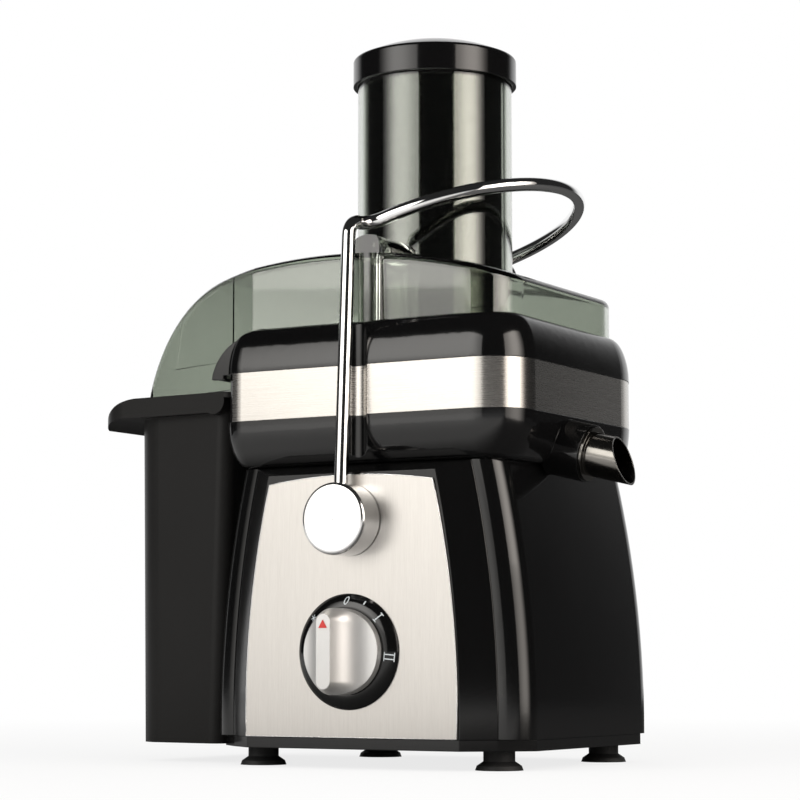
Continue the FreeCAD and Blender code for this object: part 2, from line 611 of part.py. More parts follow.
def make_base():
    """Tray, feet, housing and its covers."""
    front = FACE - s.tray_inset
    side = s.foot_half_width - s.tray_inset
    shoulder = HALF_DEPTH - s.tray_inset
    step = s.cover_foot_half_width - s.tray_inset
    inward = [(s.face_foot_half_width - s.tray_inset, front), (step, shoulder)]
    ahead = inward + [(side, shoulder - s.housing_corner)]
    behind = inward + [(side, shoulder - s.housing_back_corner)]
    outline = [(x, -1 * y) for x, y in ahead] + [(x, y) for x, y in reversed(behind)]
    outline += [(-x, y) for x, y in behind] + [(-x, -1 * y) for x, y in reversed(ahead)]
    plate = block("tray_plate", s.foot_height, TRAY_TOP, outline)
    inner_x = side - s.tray_edge
    inner_y = shoulder - s.tray_edge
    tools = [cuboid("tray_hollow", (-inner_x, inner_x), (-inner_y, inner_y),
                    (s.foot_height + s.tray_floor, TRAY_TOP + BEYOND))]
    for i in range(VENT_SLOTS):
        middle = s.vent_pitch * (i - (VENT_SLOTS - 1) / 2)
        tools.append(cuboid(f"tray_vent_{i}", (middle - s.vent_width / 2, middle + s.vent_width / 2),
                            (-s.vent_length / 2, s.vent_length / 2), (0, TRAY_TOP)))
    screws = []
    bosses = []
    pilots = []
    boss_x = s.foot_half_width - s.wall * 2
    for i, (x, y) in enumerate(CORNERS):
        stem = s.foot_stem_radius + s.running_fit
        tools.append(rod(f"tray_foot_hole_{i}", stem, TRAY_TOP, x * FOOT_X, y * FOOT_Y, 0))
        at = (x * boss_x, y * s.boss_spread_y)
        head = s.foot_height + s.screw_head_height
        tools.append(rod(f"tray_screw_hole_{i}", s.screw_radius + s.running_fit, TRAY_TOP, *at, 0))
        tools.append(rod(f"tray_counterbore_{i}", s.screw_head_radius + s.running_fit, head, *at, 0))
        bosses.append(rod(f"housing_boss_{i}", s.boss_radius, s.boss_height, *at, TRAY_TOP))
        pilots.append(rod(f"housing_pilot_{i}", s.screw_radius + s.running_fit, s.screw_bite, *at, TRAY_TOP))
        screws.append(rod(f"tray_screw_head_{i}", s.screw_head_radius, s.screw_head_height,
                          *at, s.foot_height))
        shank = TRAY_TOP - head + s.screw_bite - s.running_fit
        screws.append(rod(f"tray_screw_shank_{i}", s.screw_radius, shank, *at, head))
    keep("base_tray", cut("base_tray", plate, *tools))
    keep("tray_screws", fuse("tray_screws", *screws))

    names = ("foot_front_left", "foot_front_right", "foot_rear_right", "foot_rear_left")
    cup = s.foot_cup_height
    for name, (x, y) in zip(names, CORNERS):
        foot = turned(name, [
            (0, cup / 2), (s.foot_boss_radius, cup / 3), (s.foot_radius - s.wall, 0), (s.foot_radius, 0),
            (s.foot_radius - s.sheet, cup / 2), (s.foot_boss_radius, cup),
            (s.foot_boss_radius, s.foot_height),
            (s.foot_stem_radius, s.foot_height), (s.foot_stem_radius, TRAY_TOP), (0, TRAY_TOP),
        ])
        keep(name, place(foot, x * FOOT_X, y * FOOT_Y, 0))

    outer = slab("housing_outer", -1 * HALF_DEPTH, HALF_DEPTH,
                 bowed(s.foot_half_width, s.waist_half_width, s.crown_half_width, TRAY_TOP, BASE_TOP))
    inner = slab("housing_inner", -1 * WALL_INSIDE, WALL_INSIDE,
                 bowed(s.foot_half_width - s.wall, s.waist_half_width - s.wall, s.crown_half_width - s.wall,
                       TRAY_TOP - BEYOND, BASE_TOP - s.bowl_floor))
    for side, radius in ((-1, s.housing_corner), (1, s.housing_back_corner)):
        for solid, face, size in ((outer, HALF_DEPTH, radius), (inner, WALL_INSIDE, radius - s.wall)):
            level = side * face.value
            dress(solid, "Fillet", size,
                  lambda e: lies(e, "Y", level) and spans(e, "Z", s.housing_height.value))
    shell = cut("housing_shell", outer, inner)
    clipped = common("housing_bosses", fuse("housing_boss_group", *bosses), outer)
    posts = []
    for i, (x, y) in enumerate(CORNERS):
        at = (x * s.post_spread_x, y * s.post_spread_y)
        posts.append(rod(f"housing_post_{i}", s.post_radius, BASE_TOP - s.bowl_floor - POST_BOTTOM,
                         *at, POST_BOTTOM))
        pilots.append(rod(f"post_pilot_{i}", s.screw_radius + s.running_fit, s.screw_bite, *at, POST_BOTTOM))
    peg_x = s.board_width / 2 - s.standoff_radius * 2
    for i, (x, low) in enumerate(((-1, 1), (1, 1), (-1, 0), (1, 0))):
        margin = s.standoff_radius * 2
        level = s.board_bottom + (margin if low else s.board_height - margin)
        posts.append(rod(f"housing_peg_{i}", s.standoff_radius, s.board_standoff,
                         x * peg_x, WALL_INSIDE - s.board_standoff, level, TO_BACK))
    body = fuse("housing_body", shell, clipped, *posts)
    bush = s.pivot_radius + s.running_fit + s.bush_wall + s.running_fit
    gland = s.gland_radius + s.running_fit
    keep("motor_housing", cut(
        "motor_housing", body, *pilots,
        rod("housing_shaft_hole", s.seal_radius + s.running_fit, BEYOND * 2, 0, 0, BASE_TOP - BEYOND),
        rod("housing_pivot_hole", bush, s.housing_depth + BEYOND, 0, HALF_DEPTH + BEYOND / 2,
            s.pivot_height, TO_FRONT),
        rod("housing_switch_hole", s.switch_shaft_radius * 2, BEYOND * 2, 0, -1 * HALF_DEPTH - BEYOND,
            s.dial_height, TO_BACK),
        rod("housing_gland_hole", gland, BEYOND * 2, s.gland_offset, HALF_DEPTH + BEYOND,
            s.gland_height, TO_FRONT),
    ))
    for name, side in (("front_cover", -1), ("rear_cover", 1)):
        cover = loft(f"{name}_block", "XZ_Plane", [
            (-side * HALF_DEPTH, bowed(s.cover_foot_half_width, s.cover_waist_half_width,
                                       s.cover_crown_half_width, TRAY_TOP, BASE_TOP)),
            (-side * FACE, bowed(s.face_foot_half_width, s.face_waist_half_width,
                                 s.face_crown_half_width, TRAY_TOP, BASE_TOP - s.cover_top_bevel)),
        ])
        depth = s.cover_depth - s.cover_skin
        start = as_size(HALF_DEPTH) * side if side > 0 else -1 * HALF_DEPTH - depth
        hollow = cuboid(f"{name}_hollow", (-s.cover_hollow_half_width, s.cover_hollow_half_width),
                        (start, start + depth), (TRAY_TOP + s.tray_edge, s.pivot_height - s.cap_radius))
        tools = [hollow, rod(f"{name}_pivot_hole", bush, s.cover_depth + BEYOND, 0,
                             side * FACE - side * s.cover_depth - side * BEYOND / 2, s.pivot_height,
                             TO_FRONT if side < 0 else TO_BACK)]
        if side < 0:
            tools.append(rod("cover_switch_hole", s.switch_shaft_radius * 2, s.cover_depth * 2,
                             0, -1 * HALF_DEPTH, s.dial_height, TO_FRONT))
        else:
            tools.append(rod("cover_gland_hole", gland, s.cover_depth * 2, s.gland_offset, HALF_DEPTH,
                             s.gland_height, TO_BACK))
        keep(name, cut(name, cover, *tools))


def make_controls():
    """Steel panel, dial, rotary switch, board, gland and interlock."""
    head = TRAY_TOP + s.panel_corner_height
    low = TRAY_TOP + s.slip
    sheet_blank = slab("panel_blank", -1 * PANEL, -1 * FACE, [
        (-s.panel_foot_half_width, low), (s.panel_foot_half_width, low),
        via(s.panel_waist_half_width, s.waist_height), (s.panel_head_half_width, head),
        via(0, head + s.panel_crown), (-s.panel_head_half_width, head),
        via(-s.panel_waist_half_width, s.waist_height),
    ])
    bush = s.pivot_radius + s.running_fit + s.bush_wall
    keep("front_panel", cut(
        "front_panel", sheet_blank,
        rod("panel_switch_hole", s.switch_shaft_radius * 2, BEYOND * 2, 0, -1 * FACE + BEYOND,
            s.dial_height, TO_FRONT),
        rod("panel_pivot_hole", bush + s.running_fit, BEYOND * 2, 0, -1 * FACE + BEYOND,
            s.pivot_height, TO_FRONT),
    ))
    bore = s.switch_shaft_radius * 2
    land = s.knob_radius + s.bezel_land
    bezel = turned("dial_bezel", [
        (bore, 0), (s.bezel_radius, 0), (s.bezel_radius, s.bezel_rim),
        via((s.bezel_radius + land) / 2, (s.bezel_rim + s.bezel_depth) / 2 + s.bezel_bulge),
        (land, s.bezel_depth), (bore, s.bezel_depth),
    ])
    keep("dial_bezel", place(bezel, 0, -1 * PANEL, s.dial_height, TO_FRONT))

    knob_back = -1 * PANEL - s.bezel_depth - s.slip
    knob_front = knob_back - s.knob_height
    blank = rod("knob_blank", s.knob_radius, s.knob_height, 0, knob_back, s.dial_height, TO_FRONT)
    rib_half = s.knob_rib_width / 2
    reach = rib_half + s.knob_scoop_radius
    straight = s.knob_radius - s.knob_rib_inset - rib_half
    scoops = []
    for i, side in enumerate((-1, 1)):
        scoops.append(rod(f"knob_scoop_{i}", s.knob_scoop_radius, straight * 2, side * reach, knob_front,
                          s.dial_height - straight))
        bend = doc.addObject("Part::Torus", f"knob_bend_{i}")
        bind(bend, "Radius1", reach)
        bind(bend, "Radius2", s.knob_scoop_radius)
        bend.Angle3 = 180
        half_turn = FreeCAD.Rotation(FreeCAD.Vector(0, 0, 1), 90 - side * 90)
        scoops.append(place(bend, 0, knob_front, s.dial_height + side * straight, TO_FRONT * half_turn))
    grip = s.knob_bore_depth
    shaft_bore = rod("knob_bore", s.switch_shaft_radius + s.running_fit, grip, 0, knob_back,
                     s.dial_height, TO_FRONT)
    keep("speed_knob", cut("speed_knob", blank, *scoops, shaft_bore))
    marker = doc.addObject("Part::Prism", "knob_marker")
    marker.Polygon = 3
    bind(marker, "Circumradius", s.marker_radius)
    bind(marker, "Height", s.marker_thickness)
    upright = FreeCAD.Rotation(FreeCAD.Vector(0, -1, 0), 90)
    keep("knob_marker", place(marker, 0, knob_front, s.dial_height + s.marker_offset, upright * TO_FRONT))
    switch_back = -1 * WALL_INSIDE + s.switch_depth
    keep("switch_shaft", rod("switch_shaft", s.switch_shaft_radius,
                             switch_back - s.switch_depth / 2 - knob_back + grip - s.running_fit,
                             0, switch_back - s.switch_depth / 2, s.dial_height, TO_FRONT))
    half = s.switch_size / 2
    case = cuboid("switch_case", (-half, half), (-1 * WALL_INSIDE, switch_back),
                  (s.dial_height - half, s.dial_height + half))
    keep("rotary_switch", cut("rotary_switch", case, rod(
        "switch_bore", s.switch_shaft_radius + s.running_fit, s.switch_depth, 0,
        switch_back - s.switch_depth / 2 + s.running_fit, s.dial_height, TO_FRONT)))

    board_y = WALL_INSIDE - s.board_standoff
    keep("control_board", cuboid("control_board", (-s.board_width / 2, s.board_width / 2),
                                 (board_y - s.board_thickness, board_y),
                                 (s.board_bottom, s.board_bottom + s.board_height)))
    inside = s.cover_depth + s.wall
    gland = turned("cord_gland", [
        (s.gland_bore, -1 * inside), (s.gland_radius, -1 * inside), (s.gland_radius, 0),
        (s.gland_radius + s.gland_flange, 0), (s.gland_radius + s.gland_flange, s.gland_flange / 2),
        (s.gland_radius, s.gland_flange), (s.gland_bore, s.gland_flange),
    ])
    keep("cord_gland", place(gland, s.gland_offset, FACE, s.gland_height, TO_BACK))

    top = s.pivot_height - s.cam_radius - s.interlock_gap
    keep("interlock_switch", cuboid(
        "interlock_switch", (-s.interlock_length / 2, s.interlock_length / 2),
        (-1 * WALL_INSIDE, s.interlock_depth - WALL_INSIDE), (top - s.interlock_height, top)))


def make_pivots():
    """Bushes, pins, caps and clips of the locking arm, front and back."""
    bush_outer = s.pivot_radius + s.running_fit + s.bush_wall
    inner_end = WALL_INSIDE - s.slip - s.clip_thickness - s.cam_thickness
    cap_back = PANEL + s.cap_gap
    for name, side in (("front", -1), ("rear", 1)):
        out = TO_FRONT if side < 0 else TO_BACK
        bush = ring(f"{name}_pivot_bush", s.pivot_radius + s.running_fit, bush_outer, WALL_INSIDE, PANEL)
        keep(f"{name}_pivot_bush", place(bush, 0, 0, s.pivot_height, out))
        socket = s.cap_length / 4
        pin_length = cap_back + socket - inner_end - s.running_fit
        keep(f"{name}_pivot_pin", rod(f"{name}_pivot_pin", s.pivot_radius, pin_length, 0, side * inner_end,
                                      s.pivot_height, out))
        edge = s.cap_radius - s.cap_rounding
        bend = s.cap_rounding * (1 - DIAGONAL)
        blank = turned(f"{name}_cap_blank", [
            (0, socket), (s.pivot_radius + s.running_fit, socket), (s.pivot_radius + s.running_fit, 0),
            (s.cap_radius, 0), (s.cap_radius, s.cap_length - s.cap_rounding),
            via(s.cap_radius - bend, s.cap_length - bend), (edge, s.cap_length),
            (0, s.cap_length - s.sheet),
        ])
        place(blank, 0, side * cap_back, s.pivot_height, out)
        middle = cap_back + s.cap_length / 2
        level = s.pivot_height + s.pivot_radius
        lean = math.degrees(math.atan2((middle - s.arm_top_reach).value, (s.arm_height - level).value))
        hole = rod(f"{name}_rod_hole", s.arm_radius + s.running_fit, s.cap_radius * 2,
                   0, side * middle, level,
                   FreeCAD.Rotation(FreeCAD.Vector(side, 0, 0), lean))
        keep(f"{name}_pivot_cap", cut(f"{name}_pivot_cap", blank, hole))
        clip_start = WALL_INSIDE - s.slip - s.clip_thickness
        clip = ring(f"{name}_pivot_clip", s.pivot_radius, s.clip_radius, clip_start, WALL_INSIDE - s.slip)
        keep(f"{name}_pivot_clip", place(clip, 0, 0, s.pivot_height, out))
    cam_blank = ring("cam_blank", s.pivot_radius, s.cam_radius, inner_end, inner_end + s.cam_thickness)
    place(cam_blank, 0, 0, s.pivot_height, TO_FRONT)
    flat = cuboid("cam_flat", (s.pivot_radius + s.wall, s.cam_radius * 2), (-1 * HALF_DEPTH, 0),
                  (s.pivot_height - s.cam_radius, s.pivot_height + s.cam_radius))
    keep("interlock_cam", cut("interlock_cam", cam_blank, flat))


def bent(points, bends):
    """Edges of a path through points, with an arc of the given radius at each inner point."""
    edges = []
    start = points[0]
    for before, corner, after, radius in zip(points, points[1:], points[2:], bends):
        back = (before - corner).normalize()
        ahead = (after - corner).normalize()
        half_turn = back.getAngle(ahead) / 2
        first = corner + back * (radius / math.tan(half_turn))
        last = corner + ahead * (radius / math.tan(half_turn))
        centre = corner + (back + ahead).normalize() * (radius / math.sin(half_turn))
        middle = centre + (corner - centre).normalize() * radius
        if first.distanceToPoint(start) > NEAR:
            edges.append(Part.LineSegment(start, first).toShape())
        edges.append(Part.Arc(first, middle, last).toShape())
        start = last
    if points[-1].distanceToPoint(start) > NEAR:
        edges.append(Part.LineSegment(start, points[-1]).toShape())
    return edges


def make_arm():
    """The bent steel rod: two legs and a sloping loop around the feed tube."""
    foot_y = (PANEL + s.cap_gap + s.cap_length / 2).value
    foot = s.pivot_height.value + s.pivot_radius.value + s.running_fit.value
    rise = math.radians(s.arm_loop_rise.value)
    loop = s.arm_loop_radius.value
    top = s.arm_height.value
    bend = s.arm_loop_bend.value

    def on_loop(along, y):
        return FreeCAD.Vector(along * math.cos(rise), y, top + along * math.sin(rise))

    path = []
    for side in (-1, 1):
        leg = bent([
            FreeCAD.Vector(0, side * foot_y, foot),
            FreeCAD.Vector(0, side * s.arm_top_reach.value, top),
            on_loop(0, side * loop),
            on_loop(bend, side * loop),
        ], (s.arm_leg_bend.value, bend))
        path += leg
    path.append(Part.Arc(on_loop(bend, -loop), on_loop(bend + loop, 0), on_loop(bend, loop)).toShape())
    wire = Part.Wire(Part.__sortEdges__(path))
    start = wire.OrderedVertexes[0].Point
    heading = wire.OrderedEdges[0].tangentAt(wire.OrderedEdges[0].FirstParameter)
    section = Part.Wire(Part.Circle(start, heading, s.arm_radius.value).toShape())
    arm = doc.addObject("Part::Feature", "locking_arm")
    arm.Shape = wire.makePipeShell([section], True, False)
    keep("locking_arm", arm)


def make_bowl():
    """Juice bowl with its steel band, black collar and spout."""
    turns = [math.radians(angle) for angle in SHOULDER_ANGLES]

    def bowl_foot(name, bottom, inset, draw):
        """The bowl below its band, drawn in to its flat underside in a tall curve."""
        rise = BAND_BOTTOM - bottom
        return loft(name, "XY_Plane", [
            (bottom + rise * (1 - math.sin(turn)), bowl_outline(inset + draw * (1 - math.cos(turn))))
            for turn in reversed(turns)], ruled=False)

    low = bowl_foot("bowl_low", BASE_TOP, as_size(0), s.bowl_bottom_round)
    sleeve = block("bowl_sleeve", BAND_BOTTOM - BEYOND, BAND_TOP, bowl_outline(s.band_recess))
    skin = s.wall + s.band_recess
    cavity = fuse("bowl_cavity", bowl_foot("bowl_cavity_low", BOWL_FLOOR, skin, s.bowl_bottom_round - s.wall),
                  block("bowl_cavity_high", BAND_BOTTOM - BEYOND, COLLAR_TOP, bowl_outline(skin)))
    deeper = channels("bowl_cavity_channel", s.bowl_half_depth, s.channel_radius + skin,
                      s.channel_depth + skin, BASE_TOP, COLLAR_TOP)
    hollow = cut("bowl_hollow", cavity, *deeper)
    along = FreeCAD.Rotation(FreeCAD.Vector(0, 1, 0), 90 + s.spout_slope.value)
    fall = math.radians(s.spout_slope.value)
    direction = FreeCAD.Vector(math.cos(fall), 0, -math.sin(fall))

    def on_spout(distance):
        distance = as_size(distance)
        return (s.spout_root + distance * direction.x, -1 * s.spout_offset,
                s.spout_height + distance * direction.z)

    bore_radius = s.spout_radius - s.sheet
    socket_radius = s.spout_radius + s.running_fit
    boss = rod("spout_boss", s.spout_radius + s.spout_boss, s.spout_boss_length,
               *on_spout(-s.spout_boss_length), along)
    bore = rod("spout_bore", bore_radius, s.spout_boss_length + BEYOND,
               *on_spout(-s.spout_boss_length), along)
    socket = rod("spout_socket", socket_radius, s.spout_socket + BEYOND, *on_spout(-s.spout_socket), along)
    drain = rod("bowl_drain", s.drain_radius + s.wall, s.drain_height, 0, 0, BOWL_FLOOR)
    drain_hole = rod("bowl_drain_hole", s.drain_radius, s.drain_height + BEYOND * 2, 0, 0, BASE_TOP - BEYOND)
    ledge = cuboid("bin_ledge", (-s.bowl_left - s.ledge_reach, -s.bowl_left + s.wall),
                   (-s.ledge_half_width, s.ledge_half_width),
                   (RIM_TOP - s.rim_thickness - s.ledge_height, RIM_TOP - s.rim_thickness))
    grooves = channels("bowl_channel", s.bowl_half_depth, s.channel_radius, s.channel_depth,
                       BASE_TOP - BEYOND, COLLAR_TOP + BEYOND)
    grooves += channels("bowl_band_channel", s.bowl_half_depth, s.channel_radius + s.band_recess,
                        s.channel_depth + s.band_recess, BAND_BOTTOM, BAND_TOP + BEYOND)
    outside = cut("bowl_outside", fuse("bowl_mass", low, sleeve, boss, ledge), *grooves)
    emptied = cut("bowl_emptied", outside, hollow)
    keep("juice_bowl", cut("juice_bowl", fuse("bowl_drained", emptied, drain), drain_hole, bore, socket))

    below, above = BAND_BOTTOM - BEYOND, BAND_TOP + BEYOND
    skin = s.band_recess - s.sheet
    band_out = cut("band_out", block("band_outer", BAND_BOTTOM, BAND_TOP, bowl_outline(skin)),
                   *channels("band_channel", s.bowl_half_depth, s.channel_radius + skin,
                             s.channel_depth + skin, below, above))
    band_in = cut("band_in", block("band_inner", below, above, bowl_outline(s.band_recess)),
                  *channels("band_inner_channel", s.bowl_half_depth, s.channel_radius + s.band_recess,
                            s.channel_depth + s.band_recess, below, above))
    wide = s.bowl_half_depth * 2
    opening = cuboid("band_opening", (-s.bowl_left * 2, -s.band_end), (-wide, wide), (below, above))
    keep("bowl_band", cut("bowl_band", band_out, band_in, opening))

    crown = loft("collar_block", "XY_Plane", [
        (BAND_TOP + s.collar_height * math.sin(turn), bowl_outline(s.collar_round * (1 - math.cos(turn))))
        for turn in turns], ruled=False)
    hollow = block("collar_hollow", BAND_TOP - BEYOND, COLLAR_TOP - s.collar_hollow,
                   bowl_outline(s.collar_hollow))
    corner = s.mouth_corner
    mouth_left = s.bowl_left - s.mouth_inset_left
    mouth_depth = s.bowl_half_depth - s.mouth_inset_depth
    mouth = block("collar_mouth", BAND_TOP - BEYOND, COLLAR_TOP + BEYOND, rounded(
        -mouth_left, s.bowl_right - s.mouth_inset_right, -mouth_depth, mouth_depth, (corner,) * 4))
    shoulder_x = -s.bowl_left + s.collar_shoulder
    shoulder_z = COLLAR_TOP - s.collar_shoulder
    bend = s.collar_shoulder * DIAGONAL
    shoulder = slab("collar_shoulder", -wide, wide, [
        (shoulder_x, COLLAR_TOP), via(shoulder_x - bend, shoulder_z + bend), (-s.bowl_left, shoulder_z),
        (-s.bowl_left * 2, shoulder_z), (-s.bowl_left * 2, COLLAR_TOP + BEYOND),
        (shoulder_x, COLLAR_TOP + BEYOND),
    ])
    grooves = channels("collar_channel", s.bowl_half_depth, s.channel_radius, s.channel_depth,
                       BAND_TOP - BEYOND, COLLAR_TOP + BEYOND)
    walls = channels("collar_channel_wall", s.bowl_half_depth, s.channel_radius + s.collar_hollow,
                     s.channel_depth + s.collar_hollow, BAND_TOP - BEYOND * 2, COLLAR_TOP)
    shell = cut("collar_shell", crown, cut("collar_core", hollow, *walls), mouth, shoulder, *grooves)
    lip = cuboid("pulp_lip", (-s.bowl_left - s.lip_reach, -mouth_left), (-s.lip_half_width, s.lip_half_width),
                 (BAND_TOP, BAND_TOP + s.wall))
    root = -s.bowl_left + s.guide_length
    guide_end = -s.bowl_left - s.guide_reach
    foot = BAND_TOP - s.guide_drop
    inside = s.bowl_half_depth - s.lid_front_inset + s.slip
    guides = [slab(f"lid_guide_{i}", near, near + s.guide_thickness, [
        (root, BAND_TOP), (root, BAND_TOP + s.guide_height),
        via((root + guide_end) / 2 - s.guide_drop, BAND_TOP + s.guide_height / 2 + s.guide_drop),
        (guide_end, foot),
        (-s.bowl_left - s.slip, foot), (-s.bowl_left - s.slip, BAND_TOP),
    ]) for i, near in enumerate((-1 * inside - s.guide_thickness, inside))]
    keep("bowl_collar", fuse("bowl_collar", shell, lip, *guides))

    tube = rod("spout_tube", s.spout_radius, s.spout_socket + s.spout_length,
               *on_spout(-s.spout_socket + s.running_fit), along)
    collar = rod("spout_ring", s.spout_radius + s.spout_flange, s.sheet * 2, *on_spout(0), along)
    through = rod("spout_through", bore_radius, s.spout_length * 2 + s.spout_socket,
                  *on_spout(-s.spout_socket - BEYOND), along)
    tip = on_spout(s.spout_length)
    slant = FreeCAD.Rotation(FreeCAD.Vector(0, 1, 0), s.spout_slope.value - s.spout_cut.value)
    reach = s.spout_radius * 4
    trim = doc.addObject("Part::Box", "spout_trim")
    for side in ("Length", "Width", "Height"):
        bind(trim, side, reach * 2)
    lower = FreeCAD.Vector(-math.sin(fall), 0, -math.cos(fall))
    base = slant.multVec(FreeCAD.Vector(0, 0, 1))
    place(trim, tip[0] + s.spout_radius * lower.x - reach * base.x, tip[1] - reach,
          tip[2] + s.spout_radius * lower.z - reach * base.z, slant)
    keep("juice_spout", cut("juice_spout", fuse("spout_blank", tube, collar), through, trim))


def lid_plan(inset):
    """The lid in plan: square over the bowl, narrowing to its end over the bin."""
    right = s.bowl_right - s.lid_inset - inset
    depth = s.bowl_half_depth - s.lid_front_inset - inset
    small = s.bowl_front_corner - inset
    large = s.bowl_back_corner - s.lid_inset - inset
    end = s.lid_end_half_width - inset
    left = s.lid_reach - inset
    hip = LID_HIP - s.collar_shoulder
    swell = s.lid_bulge / 2
    middle = (left + hip) / 2
    return [
        (-hip, -depth), (right - small, -depth),
        via(right - small * (1 - DIAGONAL), -depth + small * (1 - DIAGONAL)), (right, -depth + small),
        (right, depth - large), via(right - large * (1 - DIAGONAL), depth - large * (1 - DIAGONAL)),
        (right - large, depth), (-hip, depth), via(-middle, (depth + end) / 2 + swell), (-left, end),
        (-left, -end), via(-middle, -(depth + end) / 2 - swell),
    ]


def lid_side(inset, bottom):
    """The lid seen from the front: a long arched back that falls away over the bin."""
    right = s.bowl_right - s.lid_inset - inset
    hip = LID_HIP
    left = s.lid_reach - inset
    hip_top = COLLAR_TOP + s.lid_hip_height - inset
    end_top = RIM_TOP + s.slip + s.lid_end_height
    return [
        (right, bottom), (right, COLLAR_TOP + s.lid_right_height - inset),
        via(0, COLLAR_TOP + s.lid_crown_height - inset), (-hip, hip_top),
        via(-(hip + left) / 2 - s.lid_bulge, (hip_top + end_top) / 2 + s.lid_bulge), (-left, end_top),
        (-left, bottom),
    ]


def make_lid():
    """Smoke lid over bowl and bin, with the feed tube."""
    low = RIM_TOP + s.slip
    wide = s.bowl_half_depth * 2
    none = as_size(0)
    high = COLLAR_TOP + s.lid_crown_height * 2
    outer = common("lid_outer", slab("lid_outer_side", -wide, wide, lid_side(none, low)),
                   block("lid_outer_plan", low, high, lid_plan(none)))
    inner = common("lid_inner", slab("lid_inner_side", -wide, wide, lid_side(s.wall, low - BEYOND)),
                   block("lid_inner_plan", low - BEYOND, high, lid_plan(s.wall)))
    hip = -LID_HIP.value
    end_top = (low + s.lid_end_height).value

    def around_top(edge):
        box = edge.BoundBox
        upright = box.XLength < NEAR and box.YLength < NEAR
        crease = box.XLength < NEAR and box.XMin <= hip + NEAR
        return box.ZMin > end_top - NEAR and not upright and not crease

    outer = soften("lid_rounded", outer, s.lid_round, around_top)
    depth = s.bowl_half_depth - s.lid_front_inset
    grooves = channels("lid_channel", depth, s.lid_channel_radius, s.lid_channel_depth, low - BEYOND, high)
    walls = channels("lid_channel_wall", depth, s.lid_channel_radius + s.wall, s.lid_channel_depth + s.wall,
                     low - BEYOND * 2, high)
    shoulder_x = -s.bowl_left + s.collar_shoulder
    shoulder_z = COLLAR_TOP - s.collar_shoulder
    radius = s.collar_shoulder + s.slip
    bend = radius * DIAGONAL
    below = slab("lid_below", -wide, wide, [
        (s.bowl_right * 2, low - BEYOND), (s.bowl_right * 2, COLLAR_TOP), (shoulder_x, COLLAR_TOP),
        (shoulder_x, COLLAR_TOP + s.slip), via(shoulder_x - bend, shoulder_z + bend),
        (shoulder_x - radius, shoulder_z), (shoulder_x - radius, low - BEYOND),
    ])
    saddle_top = s.arm_height - s.arm_radius - s.saddle_gap
    axis = saddle_top - s.saddle_radius
    saddle_length = depth - s.tube_radius
    saddle_end = depth - s.lid_channel_depth
    saddles = [
        rod("lid_saddle_front", s.saddle_radius, saddle_length, 0, -saddle_end, axis, TO_BACK),
        rod("lid_saddle_back", s.saddle_radius, saddle_length, 0, saddle_end, axis, TO_FRONT),
    ]
    hollow = cut("lid_hollow", inner, *walls)
    shell = cut("lid_shell", outer, hollow, *grooves)
    raised = cut("lid_saddles", fuse("lid_saddle_rods", *saddles), hollow)
    hole = rod("lid_tube_hole", s.tube_radius + s.tube_fit, s.tube_top, 0, 0, 0)
    panel_end = s.lid_panel_inset - s.lid_reach
    panel_foot = RIM_TOP + s.lid_panel_rise
    core = block("lid_panel_core", low - BEYOND * 2, high, lid_plan(s.wall + s.lid_panel))
    panels = common("lid_panels", cut("lid_panel_skin", inner, core), slab("lid_panel_side", -wide, wide, [
        (panel_end, panel_foot), (-s.bowl_left, panel_foot), (-s.bowl_left, high),
        (panel_end + s.lid_panel_lean, high),
    ]))
    keep("lid", cut("lid", fuse("lid_raised", shell, raised, panels), below, hole))
    bore = s.tube_radius - s.tube_wall
    keep("feed_tube", ring("feed_tube", bore, s.tube_radius, s.tube_bottom, s.tube_top))


def make_pusher():
    """Hollow pusher and its domed cap, which sits on the feed tube's mouth."""
    radius = s.tube_radius - s.tube_wall - s.pusher_gap
    inside = radius - s.pusher_wall
    keep("pusher_body", turned("pusher_body", [
        (0, s.pusher_bottom), (radius, s.pusher_bottom), (radius, s.tube_top), (inside, s.tube_top),
        (inside, s.pusher_bottom + s.pusher_wall), (0, s.pusher_bottom + s.pusher_wall),
    ]))
    mouth = s.tube_top
    rim = mouth + s.cap_rim_height
    skirt = s.tube_radius + s.slip
    edge = s.cap_rounding
    bend = edge * (1 - DIAGONAL)
    spigot = inside - s.running_fit
    dome = s.cap_skirt_radius - edge
    keep("pusher_cap", turned("pusher_cap", [
        (0, mouth), (inside - s.pusher_wall, mouth), (inside - s.pusher_wall, mouth - s.cap_skirt_drop),
        (spigot, mouth - s.cap_skirt_drop), (spigot, mouth), (skirt, mouth),
        (skirt, mouth - s.cap_skirt_drop),
        (s.cap_skirt_radius, mouth - s.cap_skirt_drop), (s.cap_skirt_radius, rim - edge),
        via(s.cap_skirt_radius - bend, rim - bend), (dome, rim),
        via(dome / 2, rim + s.cap_dome_shoulder), (s.tube_wall, rim + s.cap_dome), (0, rim + s.cap_dome),
    ]))


def bin_plan(left, right, half_left, half_right, corner_left, corner_right):
    """The bin in plan: wider by the bowl than at its left, with rounded corners."""
    slope = (half_right - half_left) / (left - right)
    ease = 1 - DIAGONAL
    front = [
        (-left, -half_left + corner_left),
        via(-left + corner_left * ease, -half_left + (corner_left - slope * corner_left) * ease),
        (-left + corner_left, -half_left - slope * corner_left),
        (-right - corner_right, -half_right + slope * corner_right),
        via(-right - corner_right * ease, -half_right + (corner_right + slope * corner_right) * ease),
        (-right, -half_right + corner_right),
    ]
    back = [(*p[:-1], -p[-1]) for p in reversed(front)]
    return front + back


